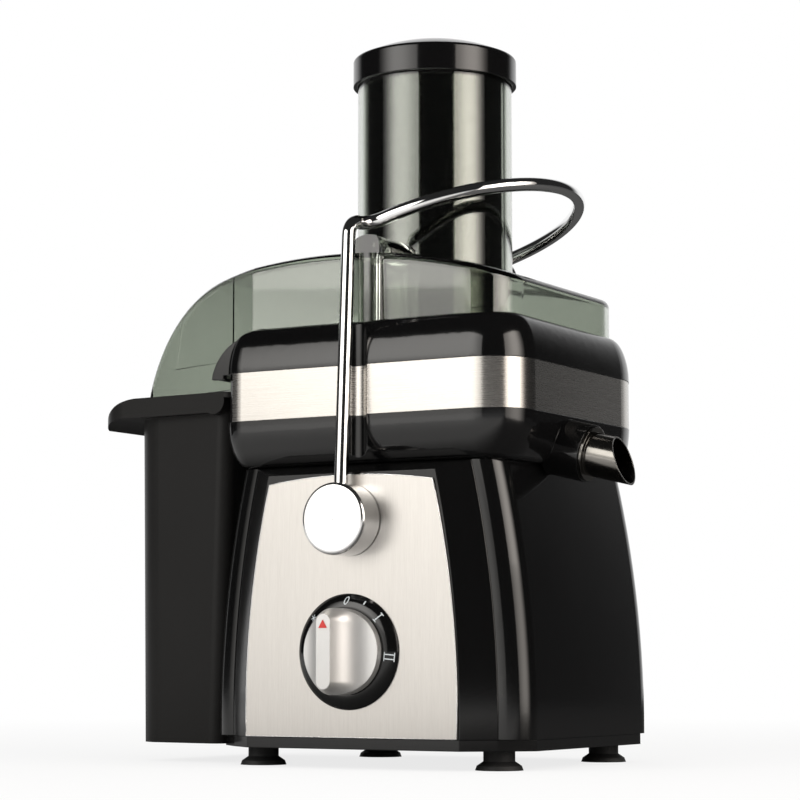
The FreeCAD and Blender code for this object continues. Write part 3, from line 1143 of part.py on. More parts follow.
def bin_block(name, inset, low, high):
    """The bin's body, drawn in by its wall."""
    left, taper = s.bin_left - inset, s.bin_taper
    near, far = s.bin_half_width_left - inset, s.bin_half_width_right - inset
    corners = (s.bin_corner - inset, s.bin_inner_corner - inset)
    return loft(name, "XY_Plane", [
        (low, bin_plan(left - taper, s.bin_right_bottom + inset, near - taper, far - taper, *corners)),
        (high, bin_plan(left, s.bin_right_top + inset, near, far, *corners)),
    ])


def make_bin():
    """Pulp bin with a deep rim that droops into a pull lip; the rim hangs on the bowl's ledge."""
    under_rim = RIM_TOP - s.rim_thickness
    outer = bin_block("bin_outer", as_size(0), s.bin_floor_height, under_rim)
    inner = bin_block("bin_inner", s.bin_wall, s.bin_floor_height + s.bin_wall, RIM_TOP + BEYOND)
    near, far = s.bin_half_width_left + s.rim_width, s.bin_half_width_right + s.rim_width
    hook = s.bin_right_top - s.rim_hook
    end = s.bin_left + s.handle_reach
    bend = s.bin_left - s.handle_bend
    tip = RIM_TOP - s.handle_drop
    skirt = RIM_TOP - s.rim_skirt
    turn = s.bin_right_top + s.slip
    ease = s.rim_skirt * DIAGONAL
    rim_side = slab("rim_side", -1 * far, far, [
        (-hook, under_rim), (-hook, RIM_TOP), (-bend, RIM_TOP),
        via(-(bend + end) / 2, (RIM_TOP + tip) / 2 + s.handle_bulge), (-end, tip),
        (-end + s.rim_thickness / 2, tip - s.rim_thickness / 2),
        via(-(s.bin_left + end) / 2, (skirt + tip) / 2 + s.slip), (-s.bin_left, skirt),
        (-turn - s.rim_skirt, skirt), via(-turn - s.rim_skirt + ease, under_rim - ease), (-turn, under_rim),
    ])
    rim_plan = block("rim_plan", tip - s.rim_skirt, RIM_TOP + BEYOND, bin_plan(
        end, hook, near, far, s.bin_corner, s.rim_width))
    rim = common("bin_rim", rim_side, rim_plan)
    keep("pulp_bin", cut("pulp_bin", fuse("bin_mass", outer, rim), inner))


def make_motor():
    """Motor: brackets, stator, brushes and what turns on the shaft."""
    length, width = s.bracket_length / 2, s.bracket_width / 2
    thick = s.bracket_thickness
    leg = s.stator_width / 2 - s.bush_wall
    hole = s.bearing_radius + s.running_fit
    mount_holes = [rod(f"bracket_screw_hole_{i}", s.screw_radius + s.running_fit, thick * 3,
                       x * s.post_spread_x, y * s.post_spread_y, s.upper_bracket_height - thick)
                   for i, (x, y) in enumerate(CORNERS)]
    for name, level, legs, extra in (
        ("upper_bracket", s.upper_bracket_height, (STATOR_TOP, s.upper_bracket_height + thick), mount_holes),
        ("lower_bracket", s.lower_bracket_height, (s.lower_bracket_height, s.stator_bottom), []),
    ):
        plate = cuboid(f"{name}_plate", (-length, length), (-width, width), (level, level + thick))
        sides = [cuboid(f"{name}_leg_{i}", (near, far), (-width, width), legs)
                 for i, (near, far) in enumerate(((-leg - s.bush_wall, -leg), (leg, leg + s.bush_wall)))]
        bore = rod(f"{name}_bore", hole, thick * 3, 0, 0, level - thick)
        keep(name, cut(name, fuse(f"{name}_blank", plate, *sides), bore, *extra))
    shaft = s.shaft_radius
    for name, level in (("upper_bearing", s.upper_bracket_height), ("lower_bearing", s.lower_bracket_height)):
        keep(name, ring(name, shaft + s.running_fit, s.bearing_radius, level, level + thick))

    half = s.stator_width / 2
    stack = block("stator_stack", s.stator_bottom, STATOR_TOP, rounded(
        -half, half, -half, half, (s.stator_corner,) * 4))
    gap = s.armature_radius + s.air_gap
    keep("motor_stator", cut("motor_stator", stack, rod(
        "stator_bore", gap, s.stator_height + BEYOND * 2, 0, 0, s.stator_bottom - BEYOND)))
    coil = gap + s.air_gap
    coils = [ring(f"field_coil_{i}", coil, coil + s.coil_width, low, low + s.coil_height)
             for i, low in enumerate((s.stator_bottom - s.coil_height, STATOR_TOP))]
    keep("field_coils", fuse("field_coils", *coils))

    commutator_low = s.lower_bracket_height + thick + s.air_gap
    commutator_top = commutator_low + s.commutator_height
    keep("motor_shaft", rod("motor_shaft", shaft, HUB_SEAT - s.shaft_bottom, 0, 0, s.shaft_bottom))
    bore = shaft + s.running_fit
    keep("armature_core", ring("armature_core", bore, s.armature_radius, s.stator_bottom, STATOR_TOP))
    edge = s.armature_radius - s.air_gap * 2
    windings = [ring(f"armature_winding_{i}", bore, edge, low, low + s.winding_height)
                for i, low in enumerate((s.stator_bottom - s.winding_height, STATOR_TOP))]
    keep("armature_windings", fuse("armature_windings", *windings))
    keep("commutator", ring("commutator", bore, s.commutator_radius, commutator_low, commutator_top))
    brushes = []
    holders = []
    half = s.brush_size / 2
    middle = (commutator_low + commutator_top) / 2
    for i, side in enumerate((-1, 1)):
        near = s.commutator_radius + s.running_fit
        far = near + s.brush_length
        x = (near, far) if side > 0 else (-1 * far, -1 * near)
        brushes.append(cuboid(f"brush_{i}", x, (-half, half), (middle - half, middle + half)))
        x = (near + s.brush_length / 4, far) if side > 0 else (-1 * far, -1 * near - s.brush_length / 4)
        wide = half + s.holder_wall + s.running_fit
        sleeve = cuboid(f"holder_{i}", x, (-1 * wide, wide), (s.lower_bracket_height + thick, middle + wide))
        slot = half + s.running_fit
        room = (near, far + BEYOND) if side > 0 else (-1 * far - BEYOND, -1 * near)
        holders.append(cut(f"holder_sleeve_{i}", sleeve, cuboid(
            f"holder_slot_{i}", room, (-1 * slot, slot), (middle - slot, middle + slot))))
    keep("carbon_brushes", fuse("carbon_brushes", *brushes))
    keep("brush_holders", fuse("brush_holders", *holders))

    fan_low = s.shaft_bottom + s.air_gap
    parts = [ring("fan_disc", bore, s.fan_radius, fan_low, fan_low + s.fan_disc),
             ring("fan_hub", bore, shaft * 2, fan_low, fan_low + s.fan_height)]
    for i in range(FAN_BLADES):
        angle = 360 * i / FAN_BLADES
        blade = doc.addObject("Part::Box", f"fan_blade_{i}")
        bind(blade, "Length", s.fan_radius - s.fan_tip_gap - s.fan_root)
        bind(blade, "Width", s.fan_disc)
        bind(blade, "Height", s.fan_height)
        aim = math.radians(angle)
        parts.append(place(blade, s.fan_root * math.cos(aim), s.fan_root * math.sin(aim), fan_low,
                           FreeCAD.Rotation(FreeCAD.Vector(0, 0, 1), angle)))
    keep("cooling_fan", fuse("cooling_fan", *parts))

    bushes = []
    screws = []
    for i, (x, y) in enumerate(CORNERS):
        at = (x * s.post_spread_x, y * s.post_spread_y)
        blank = rod(f"motor_bush_blank_{i}", s.bush_radius, s.bush_height, *at, BRACKET_TOP)
        hole = rod(f"motor_bush_hole_{i}", s.screw_radius + s.running_fit, s.bush_height * 3,
                   *at, s.upper_bracket_height)
        bushes.append(cut(f"motor_bush_{i}", blank, hole))
        head_low = s.upper_bracket_height - s.screw_head_height
        screws.append(rod(f"motor_screw_head_{i}", s.screw_head_radius, s.screw_head_height, *at, head_low))
        shank = POST_BOTTOM - s.upper_bracket_height + s.screw_bite - s.running_fit
        screws.append(rod(f"motor_screw_shank_{i}", s.screw_radius, shank, *at, s.upper_bracket_height))
    keep("motor_bushes", fuse("motor_bushes", *bushes))
    keep("motor_screws", fuse("motor_screws", *screws))
    keep("shaft_seal", ring("shaft_seal", shaft + s.slip, s.seal_radius, BASE_TOP - s.seal_height, BASE_TOP))


def hexagon(name, radius, low, height):
    """A six-sided prism about the axis."""
    item = doc.addObject("Part::Prism", name)
    item.Polygon = 6
    bind(item, "Circumradius", radius)
    bind(item, "Height", height)
    return place(item, 0, 0, low)


def make_basket():
    """Drive coupling and the filter basket that it turns."""
    shoulder = rod("coupling_shoulder", s.coupling_radius, s.coupling_height, 0, 0, s.coupling_bottom)
    stub = hexagon("coupling_hex", s.hex_radius, HUB_SEAT, s.hex_height)
    bore = rod("coupling_bore", s.shaft_radius + s.running_fit, s.coupling_height + s.running_fit, 0, 0,
               s.coupling_bottom)
    keep("drive_coupling", cut("drive_coupling", fuse("coupling_blank", shoulder, stub), bore))
    inside = s.hub_radius - s.hub_skirt_wall
    skirt = HUB_SEAT - s.hub_skirt_height
    hub = turned("hub_blank", [
        (0, HUB_SEAT), (inside, HUB_SEAT), (inside, skirt), (s.hub_radius, skirt),
        (s.hub_radius, DISC_BOTTOM), (0, DISC_BOTTOM),
    ])
    socket = hexagon("hub_socket", s.hex_radius + s.running_fit * 2, HUB_SEAT - s.running_fit,
                     s.hex_height + s.slip)
    keep("basket_hub", cut("basket_hub", hub, socket))

    teeth = [rod("disc_blank", s.disc_radius, s.disc_thickness, 0, 0, DISC_BOTTOM)]
    for order, count in enumerate(TOOTH_COUNTS):
        radius = s.tooth_ring_start + s.tooth_ring_step * order
        for i in range(count):
            angle = 360 * i / count
            aim = math.radians(angle)
            tooth = doc.addObject("Part::Wedge", f"tooth_{count}_{i}")
            for name, size in (("Xmin", 0), ("Xmax", s.tooth_length),
                               ("Zmin", 0), ("Zmax", s.tooth_length / 2),
                               ("X2min", s.tooth_length / 3), ("X2max", s.tooth_length / 2),
                               ("Z2min", s.tooth_length / 6), ("Z2max", s.tooth_length / 3),
                               ("Ymin", 0), ("Ymax", s.tooth_height + s.disc_thickness / 2)):
                bind(tooth, name, size)
            turn = FreeCAD.Rotation(FreeCAD.Vector(0, 0, 1), angle + 90) * TO_FRONT
            teeth.append(place(tooth, radius * math.cos(aim), radius * math.sin(aim),
                               DISC_BOTTOM + s.disc_thickness / 2, turn))
    keep("grater_disc", fuse("grater_disc", *teeth))

    low = s.disc_radius + s.running_fit
    rim_low = DISC_BOTTOM + s.basket_height
    keep("filter_basket", turned("filter_basket", [
        (low, DISC_BOTTOM), (low + s.sheet, DISC_BOTTOM), (s.basket_throat + s.sheet, rim_low),
        (s.basket_throat, rim_low),
    ]))
    rim_high = rim_low + s.basket_rim_height
    keep("basket_rim", ring("basket_rim", s.basket_throat, s.basket_rim_radius, rim_low, rim_high))


def check_and_write():
    """Recompute, stop on anything broken, and write each piece to its file."""
    doc.recompute()
    broken = [o.Name for o in doc.Objects if "Invalid" in o.State or "Error" in o.State]
    bad = [n for n, o in pieces.items() if o.Shape.isNull() or not o.Shape.isValid() or not o.Shape.Solids]
    if broken or bad:
        raise RuntimeError(f"failed objects {broken}, bad shapes {bad}")
    os.makedirs("parts", exist_ok=True)
    for name, item in pieces.items():
        item.Shape.exportStep(f"parts/{name}.step")
    whole = Part.makeCompound([o.Shape for o in pieces.values()]).optimalBoundingBox()
    print(f"{len(pieces)} pieces, {whole.XLength:.1f} x {whole.YLength:.1f} x {whole.ZLength:.1f} mm")


make_base()
make_controls()
make_pivots()
make_arm()
make_bowl()
make_lid()
make_pusher()
make_bin()
make_motor()
make_basket()
check_and_write()
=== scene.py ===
# %% [markdown]
# # A centrifugal juicer
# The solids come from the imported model, in metres, with +Z up and the dial towards -Y.
# This lesson dresses them: a studio, a set of finishes, and the small things that a solid model
# leaves out, such as the print on the dial, the holes of the filter and the trim of the front panel.

import json
import math

import bmesh
import bpy
from mathutils import Matrix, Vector
from mathutils.bvhtree import BVHTree


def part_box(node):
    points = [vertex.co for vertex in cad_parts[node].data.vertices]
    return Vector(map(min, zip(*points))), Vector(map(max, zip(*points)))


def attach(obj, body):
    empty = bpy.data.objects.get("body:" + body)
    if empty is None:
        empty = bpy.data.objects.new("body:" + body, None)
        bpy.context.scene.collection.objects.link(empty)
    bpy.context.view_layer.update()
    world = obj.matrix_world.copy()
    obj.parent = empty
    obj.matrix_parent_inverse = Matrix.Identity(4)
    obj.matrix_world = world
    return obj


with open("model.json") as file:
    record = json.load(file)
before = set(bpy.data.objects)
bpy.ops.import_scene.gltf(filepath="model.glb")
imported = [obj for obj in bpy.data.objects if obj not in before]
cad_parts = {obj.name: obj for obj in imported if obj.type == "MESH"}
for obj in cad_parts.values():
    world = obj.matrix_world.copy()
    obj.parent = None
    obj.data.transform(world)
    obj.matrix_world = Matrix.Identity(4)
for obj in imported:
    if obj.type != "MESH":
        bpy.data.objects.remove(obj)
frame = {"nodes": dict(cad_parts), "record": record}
scene = bpy.context.scene
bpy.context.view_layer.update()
nodes_of_slot = {}
for entry in frame["record"]["subparts"]:
    nodes_of_slot.setdefault(entry["material_slot"], []).append(entry["node"])

# %% [markdown]
# ## Camera
# The photograph was taken from about 1.26 m away with a long lens held low, 52 mm above the worktop,
# and tilted up a little. A low camera makes the base look broad and shows the spout from below.
# A location and two angles place it, which is easier to adjust than a matrix.

# %% Place the camera
FOCAL_PIXELS = 2400.0
FRAME_PIXELS = 800.0
HORIZON_PIXELS = 262.0
SENSOR_WIDTH = 36.0
NEAREST = 0.05
CAMERA_PLACE = (0.61264, -1.09834, 0.052)
AZIMUTH = math.radians(30.0)
TILT = math.atan(HORIZON_PIXELS / FOCAL_PIXELS)
camera_data = bpy.data.cameras.new("camera")
camera_data.sensor_width = SENSOR_WIDTH
camera_data.lens = SENSOR_WIDTH * FOCAL_PIXELS / FRAME_PIXELS
camera_data.clip_start = NEAREST
camera = bpy.data.objects.new("camera", camera_data)
scene.collection.objects.link(camera)
camera.location = CAMERA_PLACE
camera.rotation_euler = (math.pi / 2 + TILT, 0.0, AZIMUTH)
scene.camera = camera
print("lens", round(camera_data.lens, 1), "mm, tilt", round(math.degrees(TILT), 2))

# %% [markdown]
# ## Node trees
# The world, the lamps, the materials and the grown shapes are all node trees. A few short functions
# build them, so that a cell says what goes into what and little else. Each takes links and plain
# numbers alike. Light Path tells the kinds of ray apart: a ray that shone off the pusher and then left
# through the tube has a glossy depth, so it counts as a reflection.

# %% Build the helpers for nodes
HALF_BOUNCE = 0.5


def new_tree(owner):
    """The empty node tree of a material, a world or a lamp."""
    owner.use_nodes = True
    owner.node_tree.nodes.clear()
    return owner.node_tree


def add(tree, kind, **settings):
    """A node of one kind, with its own settings."""
    node = tree.nodes.new(kind)
    for key, value in settings.items():
        setattr(node, key, value)
    return node


def feed(tree, source, target):
    """Link an output to an input; a plain number is set on the input instead."""
    if isinstance(source, (int, float)):
        target.default_value = source
    else:
        tree.links.new(source, target)


def maths(tree, operation, first, second=0.0):
    """One step of arithmetic."""
    node = add(tree, "ShaderNodeMath", operation=operation)
    feed(tree, first, node.inputs[0])
    feed(tree, second, node.inputs[1])
    return node.outputs["Value"]


def blend(tree, share, first, second):
    """The first value where share is 0, the second where it is 1, and a mix between."""
    node = add(tree, "ShaderNodeMix", data_type="FLOAT")
    for socket, source in (("Factor", share), ("A", first), ("B", second)):
        feed(tree, source, node.inputs[socket])
    return node.outputs["Result"]


def ramp(tree, value, ends, low, high):
    """A value that goes smoothly from low to high while another goes between two ends."""
    node = add(tree, "ShaderNodeMapRange", interpolation_type="SMOOTHSTEP")
    sources = {"Value": value, "From Min": ends[0], "From Max": ends[1], "To Min": low, "To Max": high}
    for socket, source in sources.items():
        feed(tree, source, node.inputs[socket])
    return node.outputs["Result"]


def seen_rays(tree, path):
    """1 for rays from the camera, straight or through clear plastic, and 0 for all others."""
    straight = maths(tree, "LESS_THAN", path.outputs["Glossy Depth"], HALF_BOUNCE)
    through = maths(tree, "MULTIPLY", straight, path.outputs["Is Transmission Ray"])
    return maths(tree, "MAXIMUM", through, path.outputs["Is Camera Ray"])


# %% [markdown]
# ## Studio: the room
# Black gloss and chrome show the room more than their own colour. So the room is white for the camera
# and for what is seen straight through the smoke plastic. For reflections it is white only behind the
# object and dark to the sides, as in a studio with a white sweep and black cards. Matt surfaces get an
# even fill.

# %% Build the world
WHITE = (1.0, 1.0, 1.0, 1.0)
CARD_LEVEL = 0.02
FILL_LEVEL = 0.60
SWEEP_EDGE = (0.55, 0.80)
world = bpy.data.worlds.new("studio")
scene.world = world
tree = new_tree(world)
path = add(tree, "ShaderNodeLightPath")
toward = add(tree, "ShaderNodeVectorMath", operation="DOT_PRODUCT")
toward.inputs[1].default_value = (-math.sin(AZIMUTH), math.cos(AZIMUTH), 0.0)
feed(tree, add(tree, "ShaderNodeTexCoord").outputs["Generated"], toward.inputs[0])
sweep = ramp(tree, toward.outputs["Value"], SWEEP_EDGE, CARD_LEVEL, 1.0)
reflected = maths(tree, "MAXIMUM", path.outputs["Is Glossy Ray"], path.outputs["Is Transmission Ray"])
on_object = blend(tree, reflected, FILL_LEVEL, sweep)
shine = add(tree, "ShaderNodeBackground")
shine.inputs["Color"].default_value = WHITE
feed(tree, blend(tree, seen_rays(tree, path), on_object, 1.0), shine.inputs["Strength"])
feed(tree, shine.outputs["Background"], add(tree, "ShaderNodeOutputWorld").inputs["Surface"])
scene.view_settings.view_transform = "Standard"
print("world", len(tree.nodes), "nodes")

# %% [markdown]
# ## Studio: the floor
# The floor is plain and pale. For the camera it glows white, more with distance, so that it meets the
# backdrop without a line, and near the object it is partly matt, so that it keeps the shadow. Gloss
# sees it dimmer except at the front left, because black cards lie on the other sides of the object.

# %% Build the floor
FLOOR_HALF = 6.0
FLOOR_COLOUR = (0.90, 0.90, 0.90, 1.0)
GLOW_NEAR = 0.80
GLOW_FAR = 1.0
NEAR_FAR = (0.25, 1.1)
CARD_SHARE = 0.9
CARD_EDGE = (0.05, 0.35)
PALE_SIDE = (-0.5, -0.866, 0.0)
floor_mesh = bpy.data.meshes.new("floor")
corners = [(-1, -1), (1, -1), (1, 1), (-1, 1)]
floor_mesh.from_pydata([(x * FLOOR_HALF, y * FLOOR_HALF, 0) for x, y in corners], [], [(0, 1, 2, 3)])
floor = bpy.data.objects.new("floor", floor_mesh)
scene.collection.objects.link(floor)
pale = bpy.data.materials.new("pale_floor")
tree = new_tree(pale)
path = add(tree, "ShaderNodeLightPath")
where = add(tree, "ShaderNodeTexCoord").outputs["Object"]
away = add(tree, "ShaderNodeVectorMath", operation="LENGTH")
feed(tree, where, away.inputs[0])
ahead = add(tree, "ShaderNodeVectorMath", operation="DOT_PRODUCT")
ahead.inputs[1].default_value = PALE_SIDE
feed(tree, where, ahead.inputs[0])
matt = add(tree, "ShaderNodeBsdfDiffuse")
matt.inputs["Color"].default_value = FLOOR_COLOUR
surface = matt.outputs["BSDF"]
white_share = ramp(tree, away.outputs["Value"], NEAR_FAR, GLOW_NEAR, GLOW_FAR)
card_share = ramp(tree, ahead.outputs["Value"], CARD_EDGE, CARD_SHARE, 0.0)
for rays, share, grey in ((path.outputs["Is Glossy Ray"], card_share, CARD_LEVEL),
                          (seen_rays(tree, path), white_share, 1.0)):
    glow = add(tree, "ShaderNodeEmission")
    glow.inputs["Color"].default_value = (grey, grey, grey, 1.0)
    mix = add(tree, "ShaderNodeMixShader")
    feed(tree, maths(tree, "MULTIPLY", rays, share), mix.inputs["Fac"])
    feed(tree, surface, mix.inputs[1])
    feed(tree, glow.outputs["Emission"], mix.inputs[2])
    surface = mix.outputs["Shader"]
feed(tree, surface, add(tree, "ShaderNodeOutputMaterial").inputs["Surface"])
floor_mesh.materials.append(pale)
print("floor", 2 * FLOOR_HALF, "m wide")

# %% [markdown]
# ## Studio: the lamps
# Two tall soft boxes stand left and right of the camera. Each draws an upright streak on the feed
# tube, and the left one also fills the steel panel. Their upper parts are brighter, so that the
# streaks on black plastic are strong while the steel lower down keeps its colour. Angles are easier
# to read off the picture than positions: a streak on an upright cylinder gives the lamp's azimuth.
# A soft box is never even: it is bright in the middle and fades towards its sides, most towards the
# outer one, and so does its streak. Parametric coordinates run across an area lamp from 0 to 1 and
# carry that fade.

# %% Hang the lamps
WARM = (1.0, 0.975, 0.935)
WARMER = (1.0, 0.93, 0.86)
BOX_DISTANCE = 1.6
LEFT_SPAN = (-54.0, 5.0)
RIGHT_SPAN = (58.0, 108.0)
OUTER_FADE = (0.0, 0.48)
INNER_FADE = (0.55, 1.0)
OUTER_LEVEL = 0.08
INNER_LEVEL = 0.50


def fade_across(data, outer_first):
    """Fade a lamp towards both sides, most towards its outer one."""
    tree = new_tree(data)
    across = add(tree, "ShaderNodeSeparateXYZ")
    feed(tree, add(tree, "ShaderNodeNewGeometry").outputs["Parametric"], across.inputs["Vector"])
    inward = across.outputs["X"]
    if not outer_first:
        inward = maths(tree, "SUBTRACT", 1.0, inward)
    outer_side = ramp(tree, inward, OUTER_FADE, OUTER_LEVEL, 1.0)
    inner_side = ramp(tree, inward, INNER_FADE, 1.0, INNER_LEVEL)
    glow = add(tree, "ShaderNodeEmission")
    feed(tree, maths(tree, "MULTIPLY", outer_side, inner_side), glow.inputs["Strength"])
    feed(tree, glow.outputs["Emission"], add(tree, "ShaderNodeOutputLight").inputs["Surface"])


def soft_box(name, azimuths, heights, brightness, colour):
    """An upright soft box between two azimuths in degrees, from the front, and two heights."""
    middle = math.radians(sum(azimuths) / 2)
    data = bpy.data.lights.new(name, "AREA")
    data.shape = "RECTANGLE"
    data.size = 2 * BOX_DISTANCE * math.tan(math.radians(azimuths[1] - azimuths[0]) / 2)
    data.size_y = heights[1] - heights[0]
    data.energy = brightness * math.pi * data.size * data.size_y
    data.color = colour
    fade_across(data, outer_first=azimuths[0] < 0)
    lamp = bpy.data.objects.new(name, data)
    scene.collection.objects.link(lamp)
    lamp.location = (math.sin(middle) * BOX_DISTANCE, -math.cos(middle) * BOX_DISTANCE, sum(heights) / 2)
    lamp.rotation_euler = (math.pi / 2, 0.0, middle)
    return lamp


lamps = [
    soft_box("left_low", LEFT_SPAN, heights=(0.01, 0.40), brightness=1.65, colour=WARM),
    soft_box("left_middle", LEFT_SPAN, heights=(0.40, 0.48), brightness=2.5, colour=WARM),
    soft_box("left_high", LEFT_SPAN, heights=(0.48, 1.30), brightness=4.3, colour=WARM),
    soft_box("right_low", RIGHT_SPAN, heights=(0.01, 0.45), brightness=3.8, colour=WARMER),
    soft_box("right_high", RIGHT_SPAN, heights=(0.45, 1.30), brightness=6.0, colour=WARMER),
]
print("lamps", [(lamp.name, round(lamp.data.energy, 1)) for lamp in lamps])

# %% [markdown]
# ## Shared surface effects
# Moulded plastic is never perfectly even: it has a faint orange-peel skin, and handling leaves soft
# patches of duller gloss. Brushed metal has fine lines one way. Real edges are never sharp either:
# they are broken by about half a millimetre, and that thin line catches the light. Each effect is a
# shader group with named inputs, because many finishes below use it with values of their own. Object
# coordinates keep the grain at real scale on every piece.

# %% Build the helpers for groups
def new_group(name, inputs, outputs):
    """A shader group with float inputs and typed outputs; returns its tree and its two ends."""
    group = bpy.data.node_groups.new(name, "ShaderNodeTree")
    for label, value in inputs:
        socket = group.interface.new_socket(label, in_out="INPUT", socket_type="NodeSocketFloat")
        socket.default_value = value
    for label, kind in outputs:
        group.interface.new_socket(label, in_out="OUTPUT", socket_type=f"NodeSocket{kind}")
    return group, group.nodes.new("NodeGroupInput").outputs, group.nodes.new("NodeGroupOutput").inputs


def noise(group, coordinates, scale, detail):
    """The 0 to 1 value of a noise."""
    node = add(group, "ShaderNodeTexNoise")
    for socket, source in (("Vector", coordinates), ("Scale", scale), ("Detail", detail)):
        feed(group, source, node.inputs[socket])
    return node.outputs["Fac"]


def spread(group, value, low, high):
    """A 0 to 1 value spread evenly between two ends."""
    node = add(group, "ShaderNodeMapRange")
    for socket, source in (("Value", value), ("To Min", low), ("To Max", high)):
        feed(group, source, node.inputs[socket])
    return node.outputs["Result"]


# %% Build the three groups
PATCH_DETAIL = 3.0
GRAIN_DETAIL = 2.0
LINE_DETAIL = 4.0
FINE_LINES = 1.0
COARSE_LINES = 0.27
FINE_SHARE = 0.6
EDGE_SAMPLES = 4

skin, given, result = new_group(
    "moulded_skin",
    (("Grain scale", 900.0), ("Patch scale", 14.0), ("Gloss low", 0.06), ("Gloss high", 0.12)),
    (("Roughness", "Float"), ("Height", "Float"), ("Patch", "Float")))
where = add(skin, "ShaderNodeTexCoord").outputs["Object"]
patch = noise(skin, where, given["Patch scale"], PATCH_DETAIL)
feed(skin, spread(skin, patch, given["Gloss low"], given["Gloss high"]), result["Roughness"])
feed(skin, noise(skin, where, given["Grain scale"], GRAIN_DETAIL), result["Height"])
feed(skin, patch, result["Patch"])

lines, given, result = new_group(
    "brushed_lines",
    (("Lines X", 1.0), ("Lines Y", 1.0), ("Lines Z", 1.0), ("Rough low", 0.25), ("Rough high", 0.45)),
    (("Shade", "Float"), ("Roughness", "Float"), ("Height", "Float")))
where = add(lines, "ShaderNodeTexCoord").outputs["Object"]
per_metre = add(lines, "ShaderNodeCombineXYZ")
for axis in "XYZ":
    feed(lines, given[f"Lines {axis}"], per_metre.inputs[axis])
stretched = add(lines, "ShaderNodeVectorMath", operation="MULTIPLY")
feed(lines, where, stretched.inputs[0])
feed(lines, per_metre.outputs["Vector"], stretched.inputs[1])
fine = noise(lines, stretched.outputs["Vector"], FINE_LINES, LINE_DETAIL)
coarse = noise(lines, stretched.outputs["Vector"], COARSE_LINES, GRAIN_DETAIL)
shade = blend(lines, FINE_SHARE, coarse, fine)
feed(lines, shade, result["Shade"])
feed(lines, spread(lines, shade, given["Rough low"], given["Rough high"]), result["Roughness"])
feed(lines, fine, result["Height"])

broken_edge, given, result = new_group("broken_edge", (("Radius", 0.0005),), (("Normal", "Vector"),))
rounding = add(broken_edge, "ShaderNodeBevel", samples=EDGE_SAMPLES)
feed(broken_edge, given["Radius"], rounding.inputs["Radius"])
feed(broken_edge, rounding.outputs["Normal"], result["Normal"])
print("groups", [group.name for group in bpy.data.node_groups])

# %% [markdown]
# ## Finishes
# Each finish is one Principled shader. What is the same all over goes straight on its sockets;
# roughness, colour drift and bump come from the groups. A bump works on the broken edge's normal,
# so that both show. Each table row below reads like a maker's list: colour, gloss, grain.

# %% Build the helpers for finishes
SKIN_DEPTH = 0.0002
LINE_DEPTH = 0.0001
PLASTIC_EDGE = 0.0006
METAL_EDGE = 0.0004
COLOUR_DRIFT = 0.14


def finish(name, colour, **sockets):
    """A material with one Principled shader; returns the material, its tree and the shader."""
    material = bpy.data.materials.new(name)
    tree = new_tree(material)
    shader = add(tree, "ShaderNodeBsdfPrincipled")
    shader.inputs["Base Color"].default_value = (*colour, 1.0)
    for key, value in sockets.items():
        shader.inputs[key.replace("_", " ")].default_value = value
    feed(tree, shader.outputs["BSDF"], add(tree, "ShaderNodeOutputMaterial").inputs["Surface"])
    return material, tree, shader


def use_group(tree, group, **values):
    """The outputs of a group placed in a material, with its own values."""
    node = add(tree, "ShaderNodeGroup", node_tree=group)
    for key, value in values.items():
        node.inputs[key.replace("_", " ")].default_value = value
    return node.outputs


def relief(tree, shader, height, strength, depth, edge):
    """Bump from a height, on top of an edge broken by a radius."""
    node = add(tree, "ShaderNodeBump")
    for socket, source in (("Strength", strength), ("Distance", depth), ("Height", height)):
        feed(tree, source, node.inputs[socket])
    if edge:
        feed(tree, use_group(tree, broken_edge, Radius=edge)["Normal"], node.inputs["Normal"])
    feed(tree, node.outputs["Normal"], shader.inputs["Normal"])


def drift(tree, shader, value, low, high):
    """Base colour that drifts between two colours with a 0 to 1 value."""
    mix = add(tree, "ShaderNodeMix", data_type="RGBA")
    mix.inputs["A"].default_value = (*low, 1.0)
    mix.inputs["B"].default_value = (*high, 1.0)
    feed(tree, value, mix.inputs["Factor"])
    feed(tree, mix.outputs["Result"], shader.inputs["Base Color"])


def moulded(name, colour, gloss, grain, strength, edge=PLASTIC_EDGE, **sockets):
    """Moulded or painted plastic: gloss is its roughness range, grain its skin per metre."""
    material, tree, shader = finish(name, colour, **sockets)
    effect = use_group(tree, skin, Grain_scale=grain, Gloss_low=gloss[0], Gloss_high=gloss[1])
    darker = [(1 - COLOUR_DRIFT) * part for part in colour]
    lighter = [(1 + COLOUR_DRIFT) * part for part in colour]
    drift(tree, shader, effect["Patch"], darker, lighter)
    feed(tree, effect["Roughness"], shader.inputs["Roughness"])
    relief(tree, shader, effect["Height"], strength, SKIN_DEPTH, edge)
    return material


def brushed(name, low, high, per_metre, rough, strength, edge=METAL_EDGE, **sockets):
    """Metal with fine lines between two shades; per_metre gives the lines on each axis."""
    material, tree, shader = finish(name, high, Metallic=1.0, **sockets)
    effect = use_group(tree, lines, Lines_X=per_metre[0], Lines_Y=per_metre[1], Lines_Z=per_metre[2],
                       Rough_low=rough[0], Rough_high=rough[1])
    drift(tree, shader, effect["Shade"], low, high)
    feed(tree, effect["Roughness"], shader.inputs["Roughness"])
    relief(tree, shader, effect["Height"], strength, LINE_DEPTH, edge)
    return material


